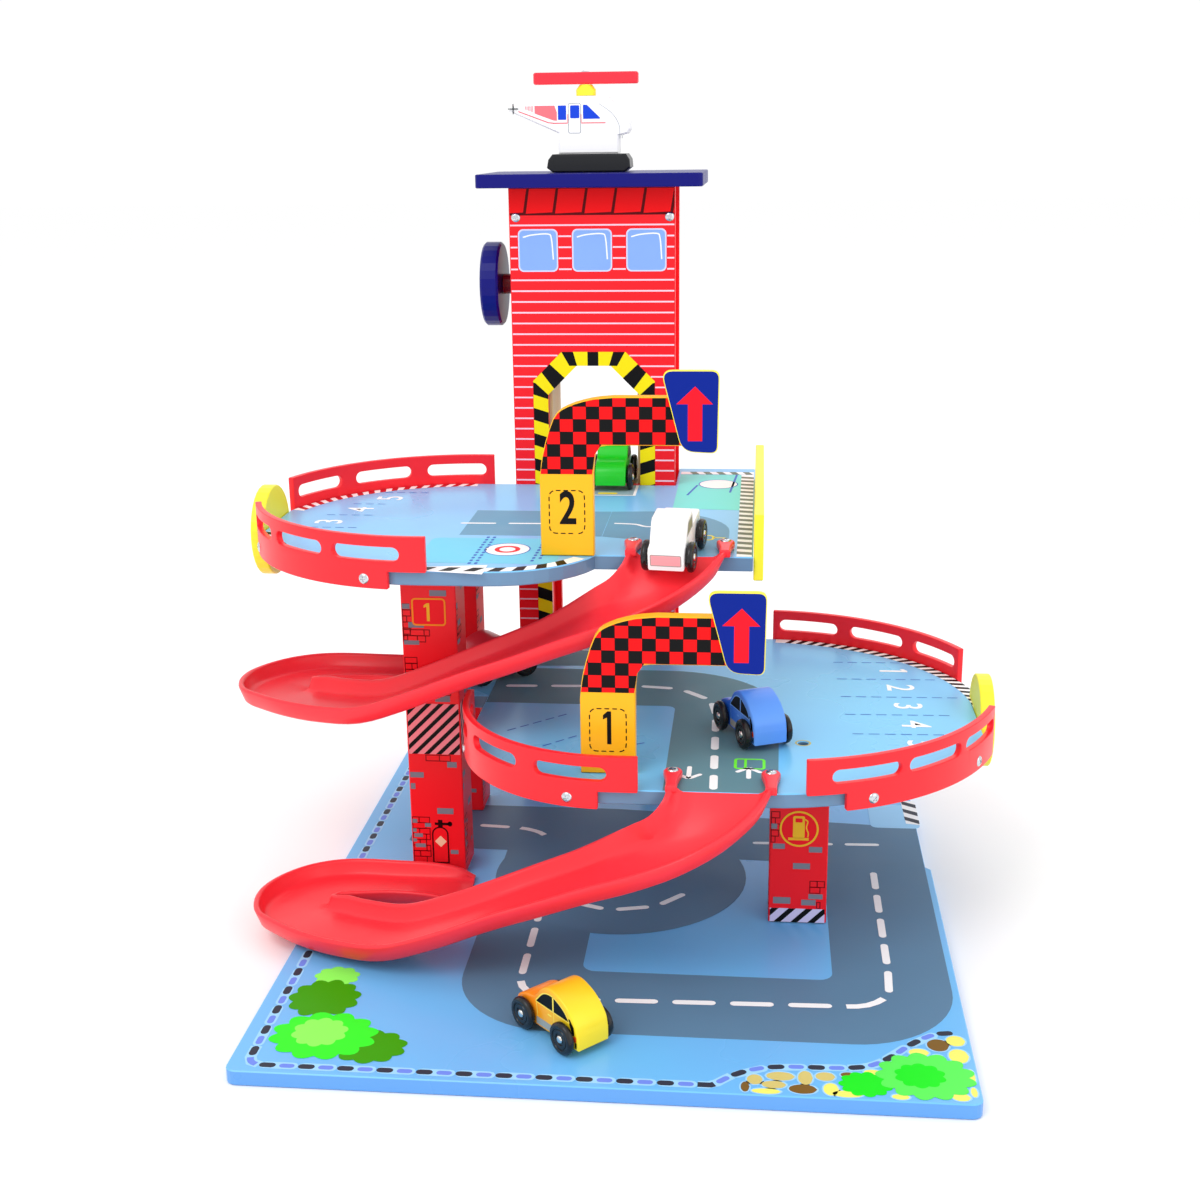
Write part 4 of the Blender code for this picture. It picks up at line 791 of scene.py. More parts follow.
def deck_2_prints():
    """Lanes, parking places and hazard borders of the upper deck, with a painted sheen near its front."""
    top = on_top(DECK2_TOP)
    region = deck_2_region()
    lane = [(-111, 18), (-18.6, 18), (-18.6, 88), (-111, 88)]
    print_on("deck_2_road", inside([lane], region), top, "road_pale", 1)
    turn = [(-18.6, 18), (0, 12), (6, 0), (6, BAY_FRONT + 1), (60, BAY_FRONT + 1), (62, 20)]
    turn += arc(8, 36, 54, 0, 90, 10) + [(-18.6, 88)]
    print_on("deck_2_turn", [turn], top, "road_pale", 1)
    print_on("deck_2_field", [[(22, 100), (68, 96), (68, 214), (22, 214)]], top, "teal_pale", 1)
    # Painted sheen: a pale aqua field near the deck's front stands in for the light that its gloss gives back
    print_on("deck_2_near_field", inside([rounded(-126, -52, -40, 10, 6)], region), top, "sheen_aqua", 1)
    landing_zone("deck_2", top)
    marks = dashes([(-116, 50), (-20, 52)], 24, 8, 3.0)
    marks += band(smooth_line([(-14, 54), (0, 52), (8, 46), (26, 46)], 4), 2.6)
    print_on("deck_2_lane_marks", marks, top, "white", 2)
    dots = []
    for x, high, low in ((-91, 14, -56), (-87, 14, -56), (-54, -4, -48), (-50, -4, -46)):
        dots += dashes([(x, high), (x - 1, low)], 4, 2.4, 2.0)
    for y, x0, x1 in ((142, -188, -156), (104, -202, -172), (70, -212, -176), (34, -214, -178)):
        dots += dashes([(x0, y), (x1, y)], 6, 2.6, 1.0)
    dots += band([(36, 176), (30, 142)], 1.6) + band([(64, 214), (60, 152)], 1.6)
    print_on("deck_2_lines", dots, top, "line_blue", 2)
    ovals = [oval(-74, -18, 14, 15, 40), oval(51, 180, 14, 15, 40)]
    print_on("deck_2_ovals", ovals, top, "white", 2)
    print_on("deck_2_oval_rims", band(ovals[0], 0.8, True) + band(ovals[1], 0.8, True), top, "line_blue", 3)
    print_on("deck_2_badge", band(oval(-74, -18, 6.5, 7, 32), 3.0, True), top, "red", 3)
    key = band(oval(49, 18, 3.4, 6, 16), 1.6, True) + band([(52.5, 18), (59, 18), (59, 12)], 1.6)
    print_on("deck_2_icon", key, top, "yellow", 2)
    place_figures("deck_2", "543", ((-179, 123), (-192, 87), (-204, 50)), 90, top)
    x, y, r = LOBE2

    def front_edge(m, last):
        return (arc(x, y, r - m, 195, 270, 50) + [(-80, DECK2_FRONT + m)]
                + arc(SHOULDER2[0], SHOULDER2[1], SHOULDER2[2] - m, -90, last, 12))

    middle = PRINT_MARGIN + BORDER / 2
    print_on("deck_2_border_white", band(arc(x, y, r - middle, 92, 165, 50), BORDER)
             + band(front_edge(middle, -30), BORDER), top, "white", 2)
    print_on("deck_2_border_red", stripes(arc(x, y, r - PRINT_MARGIN, 93, 165, 50), BORDER, 9.5, 4.0), top,
             "red_deep", 3)
    print_on("deck_2_border_black", stripes(front_edge(PRINT_MARGIN, -32), BORDER, 14.5, 5.0), top,
             "black", 3)
    print_on("deck_2_bay_white", [rect(67.5, BAY_FRONT + 1, 76.7, 214), rect(22, 215, 76.7, 224)],
             top, "white", 2)
    bars = stripes([(76.7, -24), (76.7, 214)], 9.2, 12.4, 2.0) + stripes([(76, 215), (22, 215)], -9, 10, 3)
    print_on("deck_2_bay_bars", bars, top, "bar_grey", 3)


def door_frame(name, floor, plane, inks):
    """Yellow and black border round a lift door, with the bars of its five edges."""
    x = TOWER_X / MM
    z = floor / MM
    yellow, black = inks
    outer = [(-44.0, 0), (-44.0, 76), (-23.0, 97), (23.0, 97), (44.0, 76), (44.0, 0)]
    inner = [(-33.25, 0), (-33.25, 66), (-12.25, 87), (12.25, 87), (33.25, 66), (33.25, 0)]
    quads = [[outer[i], outer[i + 1], inner[i + 1], inner[i]] for i in range(5)]
    print_on(name + "_yellow", moved(quads, x, z), plane, yellow, 2)
    bars = [[(-23.2, 97), (-14.7, 97), (-11.9, 87), (-17.5, 87)],
        [(-4.3, 97), (3.5, 97), (3.5, 87), (-4.3, 87)], [(14.2, 97), (22.6, 97), (17.0, 87), (11.2, 87)],
        [(-37.8, 82.2), (-31.8, 88.2), (-21.0, 78.2), (-28.8, 70.4)],
        [(37.8, 82.2), (31.8, 88.2), (21.0, 78.2), (28.8, 70.4)]]
    for side, quad in ((-1, quads[0]), (1, quads[4])):
        for k in range(5):
            high = 75.0 - 18.5 * k
            bar = clip([(side * 44, high), (side * 44, high - 8.8), (side * 33.2, high - 12.2),
                        (side * 33.2, high - 3.4)], quad[::-1])
            if bar:
                bars.append(bar)
    print_on(name + "_black", moved(bars, x, z), plane, black, 3)


def tower_prints():
    """Cladding lines, windows, roof tiles over a painted shadow, and door borders of the tower."""
    x0, x1 = TOWER_LOW.x / MM + 0.6, TOWER_HIGH.x / MM - 0.6
    top = TOWER_HIGH.z / MM
    middle = TOWER_X / MM
    inks = ("hazard_yellow", "black")
    for side, plane, mirror in (("front", front(TOWER_FRONT_Y), 1), ("back", back(TOWER_BACK_Y), -1)):
        low, high = sorted((x0 * mirror, x1 * mirror))
        centre = middle * mirror
        clad = []
        z = 426.6
        while z > 14:
            spans = [(low, high)]
            for floor in (BASE_TOP / MM, DECK1_TOP / MM, DECK2_TOP / MM):
                if floor <= z <= floor + DOOR_FRAME_TOP:
                    half = 44.3 - max(0.0, z - floor - 76)
                    spans = [(low, centre - half), (centre + half, high)]
                if floor > 20 and floor - 10 < z < floor + 1:
                    spans = []
            if 394 < z < 424.5:
                cuts = [centre + WINDOW_PITCH * i + 14.6 * s for i in (-1, 0, 1) for s in (-1, 1)]
                edges = [low] + cuts + [high]
                spans = [(edges[i], edges[i + 1]) for i in (0, 2, 4, 6)]
            clad += [rect(a, z - 0.55, b, z + 0.55) for a, b in spans]
            z -= CLAD_PITCH
        print_on("tower_%s_cladding" % side, clad, plane, "line_pink", 1)
        tiles = []
        region = rect(low, 434.6, high, top - 0.9)
        for i in range(-1, 6):
            x = low + 10.7 + TILE_PITCH * i
            tile = [(x + 0.8, 434.6), (x + 19.5, 435.4), (x + 22.2, top - 0.9), (x + 3.4, top - 0.9)]
            cut = clip(tile, region)
            if cut:
                tiles.append(cut)
        # Painted shadow: a dark red sheet behind the tiles shows under and between them and in a thin strip
        # under the helipad
        print_on("tower_%s_tile_shade" % side, [rect(low, 433.4, high, top - 0.4)], plane, "red_dark", 1)
        print_on("tower_%s_tiles" % side, tiles, plane, "tile_red", 2)
        frames, panes, glints = [], [], []
        for i in (-1, 0, 1):
            cx = centre + WINDOW_PITCH * i
            frames += [rounded(cx - 14.1, 394.5, cx + 14.1, 424.0, 3.6)]
            panes += [rounded(cx - 13.1, 395.5, cx + 13.1, 423.0, 3)]
            glints += band(smooth_line([(cx - 10.6, 418.4), (cx - 4, 420.0), (cx + 7, 420.6),
                                        (cx + 9.6, 417.6), (cx + 10.8, 403)], 4), 0.9)
        print_on("tower_%s_window_frames" % side, frames, plane, "frame_lilac", 2)
        print_on("tower_%s_windows" % side, panes, plane, "pane_blue", 3)
        print_on("tower_%s_glints" % side, glints, plane, "white", 4)
        for number, floor in enumerate((BASE_TOP + 0.0003, DECK1_TOP, DECK2_TOP)):
            if side == "back":
                plane = facing((-1, 0, 0), (0, 1, 0), (2 * TOWER_X, TOWER_BACK_Y, 0))
            door_frame("tower_%s_door_%d" % (side, number), floor, plane, inks)


def courses(x0, x1, z0, z1, pitch=4.1, length=9.0):
    """Thin outlines of bricks in a patch of wall, cut at its sides."""
    lines = []
    rows = int((z1 - z0) / pitch)
    for row in range(rows):
        x = x0 - length * (0.5 if row % 2 else 0.0)
        while x < x1:
            a, b = max(x, x0), min(x + length, x1 if row % 3 else x1 - length * 0.3)
            if b - a > 2:
                z = z0 + row * pitch
                lines += band([(a, z), (b, z), (b, z + pitch), (a, z + pitch)], 0.55, True)
            x += length
    return lines


def hazard(name, plane, x0, x1, z0, height, pitch, bar, paint):
    """Band of slanted black bars across a post."""
    field = rect(x0, z0, x1, z0 + height)
    bars = [clip([(x, z0), (x + bar, z0), (x + bar + height, z0 + height), (x + height, z0 + height)], field)
            for x in [x1 - pitch * i for i in range(1 + int((x1 - x0 + height) / pitch))]]
    print_on(name + "_band", [field], plane, paint, 2)
    print_on(name + "_bars", [shape for shape in bars if shape], plane, "black", 3)


def column_prints():
    """Bricks, bands and signs printed on the three posts."""
    tall_bricks = ((19, 30, 204, 208), (0.8, 5.7, 195.2, 198.6), (4.3, 14.6, 182.6, 186.3),
                   (1, 11, 171, 173.9), (19.8, 29.8, 132, 136.2), (26, 32.5, 86, 90), (0.8, 10, 78.3, 82.2),
                   (0.8, 4, 70, 74.2), (18, 29, 52.5, 56.7), (0.8, 4.2, 45.5, 48.4), (9.2, 13.4, 42.8, 45.5),
                   (0.8, 3.4, 39, 41.5), (1.7, 7.5, 35.2, 38), (0.8, 3.4, 31.8, 34.2),
                   (2.2, 9.2, 27.8, 30.6), (26, 31.3, 23.5, 26.5), (14, 24, 150, 154), (20, 30, 221, 225))
    tall_mortar = (courses(0.9, 12.5, 17, 50) + courses(0.9, 6.2, 174, 200) + courses(1, 18, 173, 182)
                   + courses(24, 33, 136.6, 141) + courses(12, 31, 90.4, 94.6) + courses(1, 9, 150, 166))
    short_bricks = ((2, 9.5, 59.6, 63.2), (24.3, 32.5, 57.8, 61.6), (14.7, 25.3, 46.2, 50.3),
                    (24.7, 33.6, 26, 29.4), (2.8, 13.6, 22.2, 26.7), (20.4, 29.4, 21.5, 25.4),
                    (0.9, 4.5, 73, 76.5))
    short_mortar = courses(0.9, 6.0, 64, 84.6) + courses(25.5, 34.5, 30, 38.3) + courses(30, 34.8, 19.6, 25.4)
    for name in ("column_front_left", "column_front_right", "column_rear_left"):
        low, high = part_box(name)
        short = name == "column_front_right"
        base = low.z / MM
        faces = (("front", front(low.y), low.x / MM, high.x / MM),
                 ("right", right(high.x), low.y / MM, high.y / MM),
                 ("back", back(high.y), -high.x / MM, -low.x / MM),
                 ("left", facing((0, -1, 0), (-1, 0, 0), (low.x, 0, 0)), -high.y / MM, -low.y / MM))
        for side, plane, x0, x1 in faces:
            reach = (x1 - x0 - 0.9) / 35.1
            bricks = [rect(x0 + a * reach, c, x0 + b * reach, d)
                      for a, b, c, d in (short_bricks if short else tall_bricks)]
            lines = moved(short_mortar if short else tall_mortar, x0, 0, 0, (reach, 1.0))
            print_on("%s_%s_mortar" % (name, side), lines, plane, "mortar", 1)
            print_on("%s_%s_bricks" % (name, side), bricks, plane, "brick_grey", 2)
            if short:
                hazard("%s_%s" % (name, side), plane, x0 + 0.9, x1 - 0.9, base + 0.4, 9.4, 10.6, 4.4,
                    "band_lilac")
            else:
                hazard("%s_%s" % (name, side), plane, x0 + 0.9, x1 - 0.9, 95.2, 35.4, 8.1, 3.6, "band_pink")
    low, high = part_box("column_front_right")
    plane = front(low.y)
    cx, cz = (low.x + high.x) / 2 / MM, 73.4
    print_on("fuel_badge_field", [oval(cx, cz, 12, 12, 48)], plane, "red", 3)
    pump = [rounded(-3.8, -6.2, 3.4, 8.6, 1.2), rect(-6.6, -7.6, 6.0, -5.9)]
    pump += band(smooth_line([(3.3, 6.6), (5.2, 5.0), (4.4, 1.0), (5.6, -2.5), (5.4, -5.4)], 4), 0.8)
    print_on("fuel_badge_pump", band(oval(cx, cz, 11.4, 11.4, 48), 1.2, True) + moved(pump, cx, cz), plane,
             "gold", 4)
    print_on("fuel_badge_window", moved([rounded(-2.4, 4.4, 2.0, 7.2, 0.5)], cx, cz), plane, "red", 5)
    low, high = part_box("column_front_left")
    plane = front(low.y)
    x0 = low.x / MM
    print_on("plate_field", [rounded(x0 + 6.9, 184, x0 + 29.3, 202.7, 2.4)], plane, "red", 3)
    print_on("plate_frame", band(rounded(x0 + 7.5, 184.6, x0 + 28.7, 202.1, 2.0), 1.1, True), plane,
             "orange", 4)
    print_on("plate_figure", moved(glyph("1", 12), x0 + 17.6, 193.2), plane, "gold", 4)
    flask = band([(14.2, 17), (14.2, 37.0)] + arc(19.4, 37.6, 5.2, 170, 10, 10) + [(24.6, 17)], 0.9, True)
    flask += [rect(16.0, 44.4, 26.6, 46.2), rect(18.2, 42.4, 21.2, 48.2), oval(26.2, 45.4, 1.6, 1.8, 14)]
    print_on("extinguisher", moved(flask, x0, 0), plane, "soot", 3)
    print_on("extinguisher_mark", moved([[(19.6, 28.4), (23.6, 32.5), (19.6, 36.6), (15.6, 32.5)]], x0, 0),
             plane, "cream", 3)


def ramp_mesh(name, mouth_x, mouth_y, deck_top):
    """Moulded channel from the mouth through the curl to the exit; wall tops are given from the
    mouth's centre as outer x, y, inner x, y, share of the fall, half bank and wall height.
    Before the curl the outer wall swings up to 16 mm wider than the CAD's."""
    stations = [(28.5, 0, -28.5, 0, 0, 0, 5), (24.5, -10, -31.5, -9, 0.085, 2.0, 10),
                (15.5, -21, -39, -11, 0.155, 3.0, 10), (0.5, -33, -49, -6, 0.225, 2.8, 10),
                (-21.5, -40.5, -59, 1, 0.305, 1.8, 10), (-46.5, -39, -71, 8, 0.395, 0.8, 10),
                (-73.5, -33, -87.5, 14, 0.492, 0.4, 10), (-101.5, -28, -111, 17.5, 0.595, 0, 10),
                (-133.5, -26, -138.5, 18, 0.7, 0, 10), (-166.5, -24.8, -167, 24, 0.82, 0, 10),
                (-199, -19.5, -195, 33, 0.925, 0, 10), (-229, -9, -222, 44, 0.958, 0, 10),
                (-255, 3.5, -236, 51, 0.967, 0, 10), (-276, 19, -243, 53, 0.976, 0, 10)]
    loop_x, loop_y, outer_r, inner_r = -241.5, 58, 54, 6
    for degrees in range(-150, -271, -20):
        c, s = math.cos(math.radians(degrees)), math.sin(math.radians(degrees))
        stations.append((loop_x + outer_r * c, loop_y + outer_r * s, loop_x + inner_r * c, loop_y
            + inner_r * s, min(1.0, 0.982 + 0.018 * (-150 - degrees) / 60), 0, 10))
    stations += [(-214.9, 111, -214.9, 68, 1, 0, 10), (-194.4, 111, -194.4, 68, 1, 0, 9.5),
                 (-177.7, 111, -177.7, 68, 1, 0, 7), (-165.5, 112, -165.5, 68, 1, 0, 2)]
    bm = bmesh.new()
    fall_mm = DECK_RISE - RAMP_SHEET - SEAT_GAP
    rings = []
    for ox, oy, ix, iy, fall, bank, height in smooth_line(stations, 4):
        outer, inner = Vector((ox, oy, 0)), Vector((ix, iy, 0))
        middle, across = (outer + inner) / 2, (outer - inner).normalized()
        w = (outer - inner).length / 2
        foot = w - 3.5
        thins = height <= 6 and fall > 0.5      # at the exit, not at the mouth
        sheet = 1.4 + 1.6 * (height - 2) / 4 if thins else RAMP_SHEET
        bottom = deck_top / MM - RAMP_SHEET - fall_mm * fall
        half = [(0, sheet), (foot * 0.55, sheet), (foot - 3.6, sheet + 0.1), (foot - 1.6, sheet + 0.9),
                (foot - 0.3, sheet + 2.2), (w - 1.7, sheet + height - 1.8), (w - 1.3, sheet + height - 0.5),
                (w + 0.2, sheet + height), (w + 1.6, sheet + height - 0.5), (w + 1.9, sheet + height - 1.8),
                (foot + 2.2, 2.2), (foot + 0.6, 0.7), (foot - 1.2, 0), (foot * 0.5, 0), (0, 0)]
        ring = []
        for side in (1, -1):
            profile = half[:-1] if side == 1 else list(reversed(half))[:-1]
            for s, z in profile:
                lift = bank * side * min(1.0, s / w)
                place = middle + across * (s * side) + Vector((mouth_x, mouth_y - SEAT_GAP, bottom + z
                    + lift))
                ring.append(bm.verts.new(place * MM))
        rings.append(ring)
    skin(bm, rings)
    bm.faces.new(rings[0])
    bm.faces.new(rings[-1])
    bmesh.ops.recalc_face_normals(bm, faces=bm.faces)
    return shaded(mesh_from(bm, name), 60)


def ramps():
    """Smooth moulded ramps with their screw ears."""
    plastic = moulded("ramp_plastic", (252, 50, 62))
    for name, mouth, top in (("ramp_lower", MOUTH1, DECK1_TOP), ("ramp_upper", MOUTH2, DECK2_TOP)):
        channel = piece(name + "_channel", ramp_mesh(name + "_channel", *mouth, top), plastic, "root")
        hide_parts(name)
        ear = arc(0, EAR_SCREW, 5.6, 0, 180, 14) + [(-4.2, 12), (-3.5, 7), (-3.3, -4), (3.3, -4), (3.5, 7),
                                                    (4.2, 12)]
        for side, ending in ((-1, "left"), (1, "right")):
            mesh = extruded_mesh(name + "_ear", ear, 5.0, 1.4, 4)
            piece("%s_ear_%s" % (name, ending), mesh, plastic, "root",
                  Matrix.Translation(((mouth[0] + side * MOUTH_HALF) * MM, mouth[1] * MM,
                                      top + 2.8 * MM)))


def edge_path(x, y, heading, pieces, step=4.0):
    """Points and outward directions along a deck's edge. Each piece is a length and a radius,
    or None where it runs straight; round pieces turn left."""
    stations = []
    run = 0.0
    angle = math.radians(heading)
    for length, radius in pieces:
        count = max(1, round(length / step))
        for i in range(count + 1):
            s = length * i / count
            if radius:
                turn = angle + s / radius
                px = x + radius * (math.sin(turn) - math.sin(angle))
                py = y - radius * (math.cos(turn) - math.cos(angle))
            else:
                turn = angle
                px, py = x + s * math.cos(angle), y + s * math.sin(angle)
            stations.append((run + s, px, py, math.sin(turn), -math.cos(turn)))
        x, y, angle, run = px, py, turn, run + length
    return stations


def rail(name, deck_top, stations, tongue, finish):
    """Plastic strip with rounded slots, bent round a deck's edge in place of the CAD's strip."""
    length = stations[-1][0]
    low, high, lip = -10.8, 21.5, 23.0
    outline = [(0, low), (length, low), (length, high), (0, high)]
    if tongue == "start":
        outline = [(0, 0), (lip, 0), (lip, low), (length, low), (length, high), (0, high)]
    if tongue == "end":
        outline = [(0, low), (length - lip, low), (length - lip, 0), (length, 0), (length, high), (0, high)]
    skip = lip * 0.5 if tongue == "start" else 0.0
    pitch = (length - (lip * 0.5 if tongue else 0.0)) / 3
    loops = [fillet([(x, z, 0.8) for x, z in outline], 3)]
    for i in range(3):
        middle = skip + pitch * (i + 0.5)
        loops.append(arc(middle + 17.2, 10.7, 4.3, -90, 90, 12) + arc(middle - 17.2, 10.7, 4.3, 90, 270, 12))
    mesh = filled_curve(name, loops, RAIL_HALF, 0.45, 2, 1)
    bm = bmesh.new()
    bm.from_mesh(mesh)
    bmesh.ops.remove_doubles(bm, verts=bm.verts, dist=0.001)
    for station in stations[1:-1]:
        bmesh.ops.bisect_plane(bm, geom=bm.verts[:] + bm.edges[:] + bm.faces[:], dist=0.0001,
                               plane_co=(station[0], 0, 0), plane_no=(1, 0, 0))
    for vert in bm.verts:
        s = min(max(vert.co.x, 0.0), length)
        k = 1
        while k < len(stations) - 1 and stations[k][0] < s:
            k += 1
        a, b = stations[k - 1], stations[k]
        t = (s - a[0]) / max(1e-6, b[0] - a[0])
        px, py, ox, oy = (a[i] + (b[i] - a[i]) * t for i in range(1, 5))
        out = SEAT_GAP + RAIL_HALF + vert.co.z
        vert.co = Vector((px + ox * out, py + oy * out, vert.co.y)) * MM + Vector((0, 0, deck_top))
    bmesh.ops.recalc_face_normals(bm, faces=bm.faces)
    bm.to_mesh(mesh)
    bm.free()
    mesh.name = name + "_strip"
    strip = piece(name + "_strip", shaded(mesh, 40), finish, "root")
    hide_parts(name)


def rails():
    """The five rails between the ramps and the end discs."""
    finish = moulded("rail_plastic", (252, 34, 46))
    x1, y1, r1 = LOBE1
    x2, y2, r2 = LOBE2
    start = math.asin(24.5 / r1)
    rail("deck_1_rail_front_right", DECK1_TOP,
         edge_path(x1 + r1 * math.sin(start), y1 - r1 * math.cos(start), math.degrees(start),
                   [((math.radians(71) - start) * r1, r1)]), "start", finish)
    stop = math.radians(25)
    rail("deck_1_rail_back_right", DECK1_TOP,
         edge_path(x1 + r1 * math.cos(stop), y1 + r1 * math.sin(stop), 115,
                   [(math.radians(62) * r1, r1)]), None, finish)
    corner = CORNER1[2]
    rail("deck_1_rail_front_left", DECK1_TOP,
         edge_path(CORNER1[0] - corner, CORNER1[1] + 11, -90,
                   [(11, None), (math.pi / 2 * corner, corner), (17, None)]), "end", finish)
    stop = math.radians(17)
    quarter = (math.radians(73) * r2, r2)
    rail("deck_2_rail_front_left", DECK2_TOP,
         edge_path(x2 - r2 * math.cos(stop), y2 - r2 * math.sin(stop), -73, [quarter, (7.5, None)]),
         "end", finish)
    rail("deck_2_rail_back_left", DECK2_TOP,
         edge_path(x2 + 7.5, y2 + r2, 180, [(7.5, None), quarter]), None, finish)


def sign_parts():
    """Convex parts of the checked area, up to the board's edge."""
    bend = smooth_line([(0.0, 46.0), (2.0, 62.0), (8.7, 83.6), (17.0, 91.0), (31.7, 95.5), (45.0, 97.0)], 3)
    inset = 0.5
    curve = [(x + inset * 0.9, y - inset * 0.5) for x, y in bend if y > 51.5]
    join = (33.6, 95.5)
    leg = [(inset + 0.2, 50.5), (32.3 - inset, 50.5), (33.6, 63.0), join]
    leg += [p for p in reversed(curve) if p[0] < 32.5]
    arm = [(33.6, 68.5), (85.0, 68.5), (85.0, 96.5), (45, 96.5), join]
    corner = [(33.6, 62.6), (37.6, 68.5), (33.6, 68.5)]
    return [leg, arm, corner]


def sign_prints():
    """Checks, numbers, and arrow plates of the two turning signs."""
    yellow = board_paint("plate_yellow", (250, 236, 70))
    shield = fillet(((73.2, 113.4, 7), (85.6, 65.4, 8), (106.9, 64.4, 4.5), (107.6, 113.4, 5)))
    face = fillet(((73.9, 113.0, 6.6), (86.0, 65.9, 7.4), (106.3, 65.0, 4), (107.1, 113.0, 4.6)))
    arrow_shape = [(89.2, 72), (97.6, 72), (97.6, 93.8), (103.8, 93.8), (93.4, 104.2), (82.4, 93.8),
                   (89.2, 93.8)]
    for number in (1, 2):
        body = "sign_%d" % number
        low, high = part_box(body + "_board")
        peg_low, peg_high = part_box(body + "_peg")
        x = (peg_low.x + peg_high.x) / 2 / MM - 16.15
        z = low.z / MM
        checks = {"red": [], "black": []}
        parts = sign_parts()
        for column in range(13):
            for row in range(8):
                cell = rect(CELL_X * column - 2.8, CELL_Y * row + 46.1, CELL_X * column + 4.83, CELL_Y * row
                    + 53.4)
                for part in parts:
                    cut = clip(cell, part)
                    if cut:
                        checks["black" if (column + row) % 2 else "red"].append(cut)
        for side, flip, plane in both_faces(x * MM, low.y, high.y, z * MM):
            for colour, cells in checks.items():
                print_on("%s_%s_checks_%s" % (body, side, colour), moved(cells, 0, 0, 0, (flip, 1)), plane,
                         "checker_red" if colour == "red" else "black", 2, body)
            print_on("%s_%s_grid" % (body, side), moved(parts, 0, 0, 0, (flip, 1)), plane,
                     "grid_red", 1, body)
            figure = moved(glyph(str(number), 20.5, 0.028), 16.8 * flip, 28.7, 0, (0.76, 1.0))
            print_on("%s_%s_figure" % (body, side), figure, plane, "black", 2, body)
            outline = rounded(5.5, 14.0, 27.0, 40.5, 4)
            outline = [(px * flip, py) for px, py in outline + outline[:1]]
            print_on("%s_%s_dashes" % (body, side), dashes(outline, 3.0, 1.6, 0.7), plane, "black", 2, body)
        plate_low, plate_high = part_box(body + "_arrow_plate")
        deep = (plate_high.y - plate_low.y) / MM
        plane = facing((1, 0, 0), (0, -1, 0), (x * MM, (plate_low.y + plate_high.y) / 2, z * MM))
        plate = piece(body + "_shield", extruded_mesh(body + "_shield", shield, deep, 0.7, 3), yellow, body,
                      plane)
        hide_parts(body + "_arrow_plate")
        for side, flip, plane in both_faces(x * MM, plate_low.y, plate_high.y, z * MM):
            print_on("%s_%s_shield_face" % (body, side), moved([face], 0, 0, 0, (flip, 1)), plane,
                     "sign_blue", 1, body)
        plane = facing((1, 0, 0), (0, -1, 0), (x * MM, plate_low.y, z * MM))
        print_on(body + "_arrow", [arrow_shape], plane, "arrow_red", 2, body)


def screw_mesh():
    """Round screw head with a cross recess."""
    mesh = turned_mesh("screw_head", [(-0.4, 0), (-0.4, 3.2), (0.1, 3.3), (0.6, 3.0), (1.05, 2.1),
                                      (1.25, 1.0), (1.3, 0)], 28)
    head = linked("screw_blank", mesh)
    for turn in (0, 90):
        bm = bmesh.new()
        bmesh.ops.create_cube(bm, size=1.0)
        bmesh.ops.scale(bm, vec=(3.4 * MM, 0.7 * MM, 1.6 * MM), verts=bm.verts)
        bmesh.ops.rotate(bm, matrix=Matrix.Rotation(math.radians(turn), 3, "Z"), verts=bm.verts)
        bmesh.ops.translate(bm, vec=(0, 0, 1.3 * MM), verts=bm.verts)
        cutter = linked("screw_cutter_%d" % turn, mesh_from(bm, "screw_blade"))
        cut = head.modifiers.new("recess", "BOOLEAN")
        cut.operation = "DIFFERENCE"
        cut.solver = "EXACT"
        cut.object = cutter
    made = evaluated(head)
    for name in ("screw_blank", "screw_cutter_0", "screw_cutter_90"):
        bpy.data.objects.remove(bpy.data.objects[name])
    made.name = "screw_head"
    made.set_sharp_from_angle(angle=math.radians(40))
    return made


def screws():
    """Screw heads on the rails, the ramps' ears, the tower and the rotor."""
    head = screw_mesh()
    steel = surface("screw_steel", (205, 208, 214), 0.22, drift=0.08, drift_scale=300.0, skin=0.06,
                    skin_scale=2500.0, metallic=1.0)
    head.materials.clear()
    head.materials.append(steel)
    places = []
    for mouth, top in ((MOUTH1, DECK1_TOP), (MOUTH2, DECK2_TOP)):
        for side in (-1, 1):
            places.append(("ramp", (mouth[0] + side * MOUTH_HALF, mouth[1] + EAR_SCREW,
                                    top / MM + 5.3), (0, 0, 1)))
    for x, y, r, top, turns in ((*LOBE1, DECK1_TOP, (-65, -30, 40, 74)),
                                (*CORNER1, DECK1_TOP, (194, 256)),
                                (*LOBE2, DECK2_TOP, (204, 256, 110, 150))):
        for turn in turns:
            way = Vector((math.cos(math.radians(turn)), math.sin(math.radians(turn)), 0))
            spot = Vector((x, y, 0)) + way * (r + 4.3)
            places.append(("rail", (spot.x, spot.y, top / MM - 5.0), tuple(way)))
    for x in (-92.7, 15.6):
        places.append(("tower", (x, TOWER_FRONT_Y / MM, 432.0), (0, -1, 0)))
    for index, (kind, spot, way) in enumerate(places):
        turn = Vector((0, 0, 1)).rotation_difference(Vector(way)).to_matrix().to_4x4()
        twist = Matrix.Rotation(0.7 * index, 4, "Z")
        piece("screw_%s_%d" % (kind, index), head, None, "root",
              Matrix.Translation(Vector(spot) * MM) @ turn @ twist)
    low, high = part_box("helicopter_rotor")
    centre = (low + high) / 2
    piece("screw_rotor", head, None, "rotor", Matrix.Translation((centre.x, centre.y, high.z)))


def car_place(name):
    """Frame of a car: origin under its middle on the ground, x to the nose, z up."""
    ends = []
    for end in ("front", "rear"):
        low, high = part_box("car_%s_%s_wheels" % (name, end))
        ends.append((low + high) / 2)
    nose = (ends[0] - ends[1]).normalized()
    left = Vector((0, 0, 1)).cross(nose).normalized()
    up = nose.cross(left)
    frame_matrix = Matrix((nose, left, up)).transposed().to_4x4()
    frame_matrix.translation = (ends[0] + ends[1]) / 2 - up * (WHEEL_RADIUS * MM)
    return frame_matrix


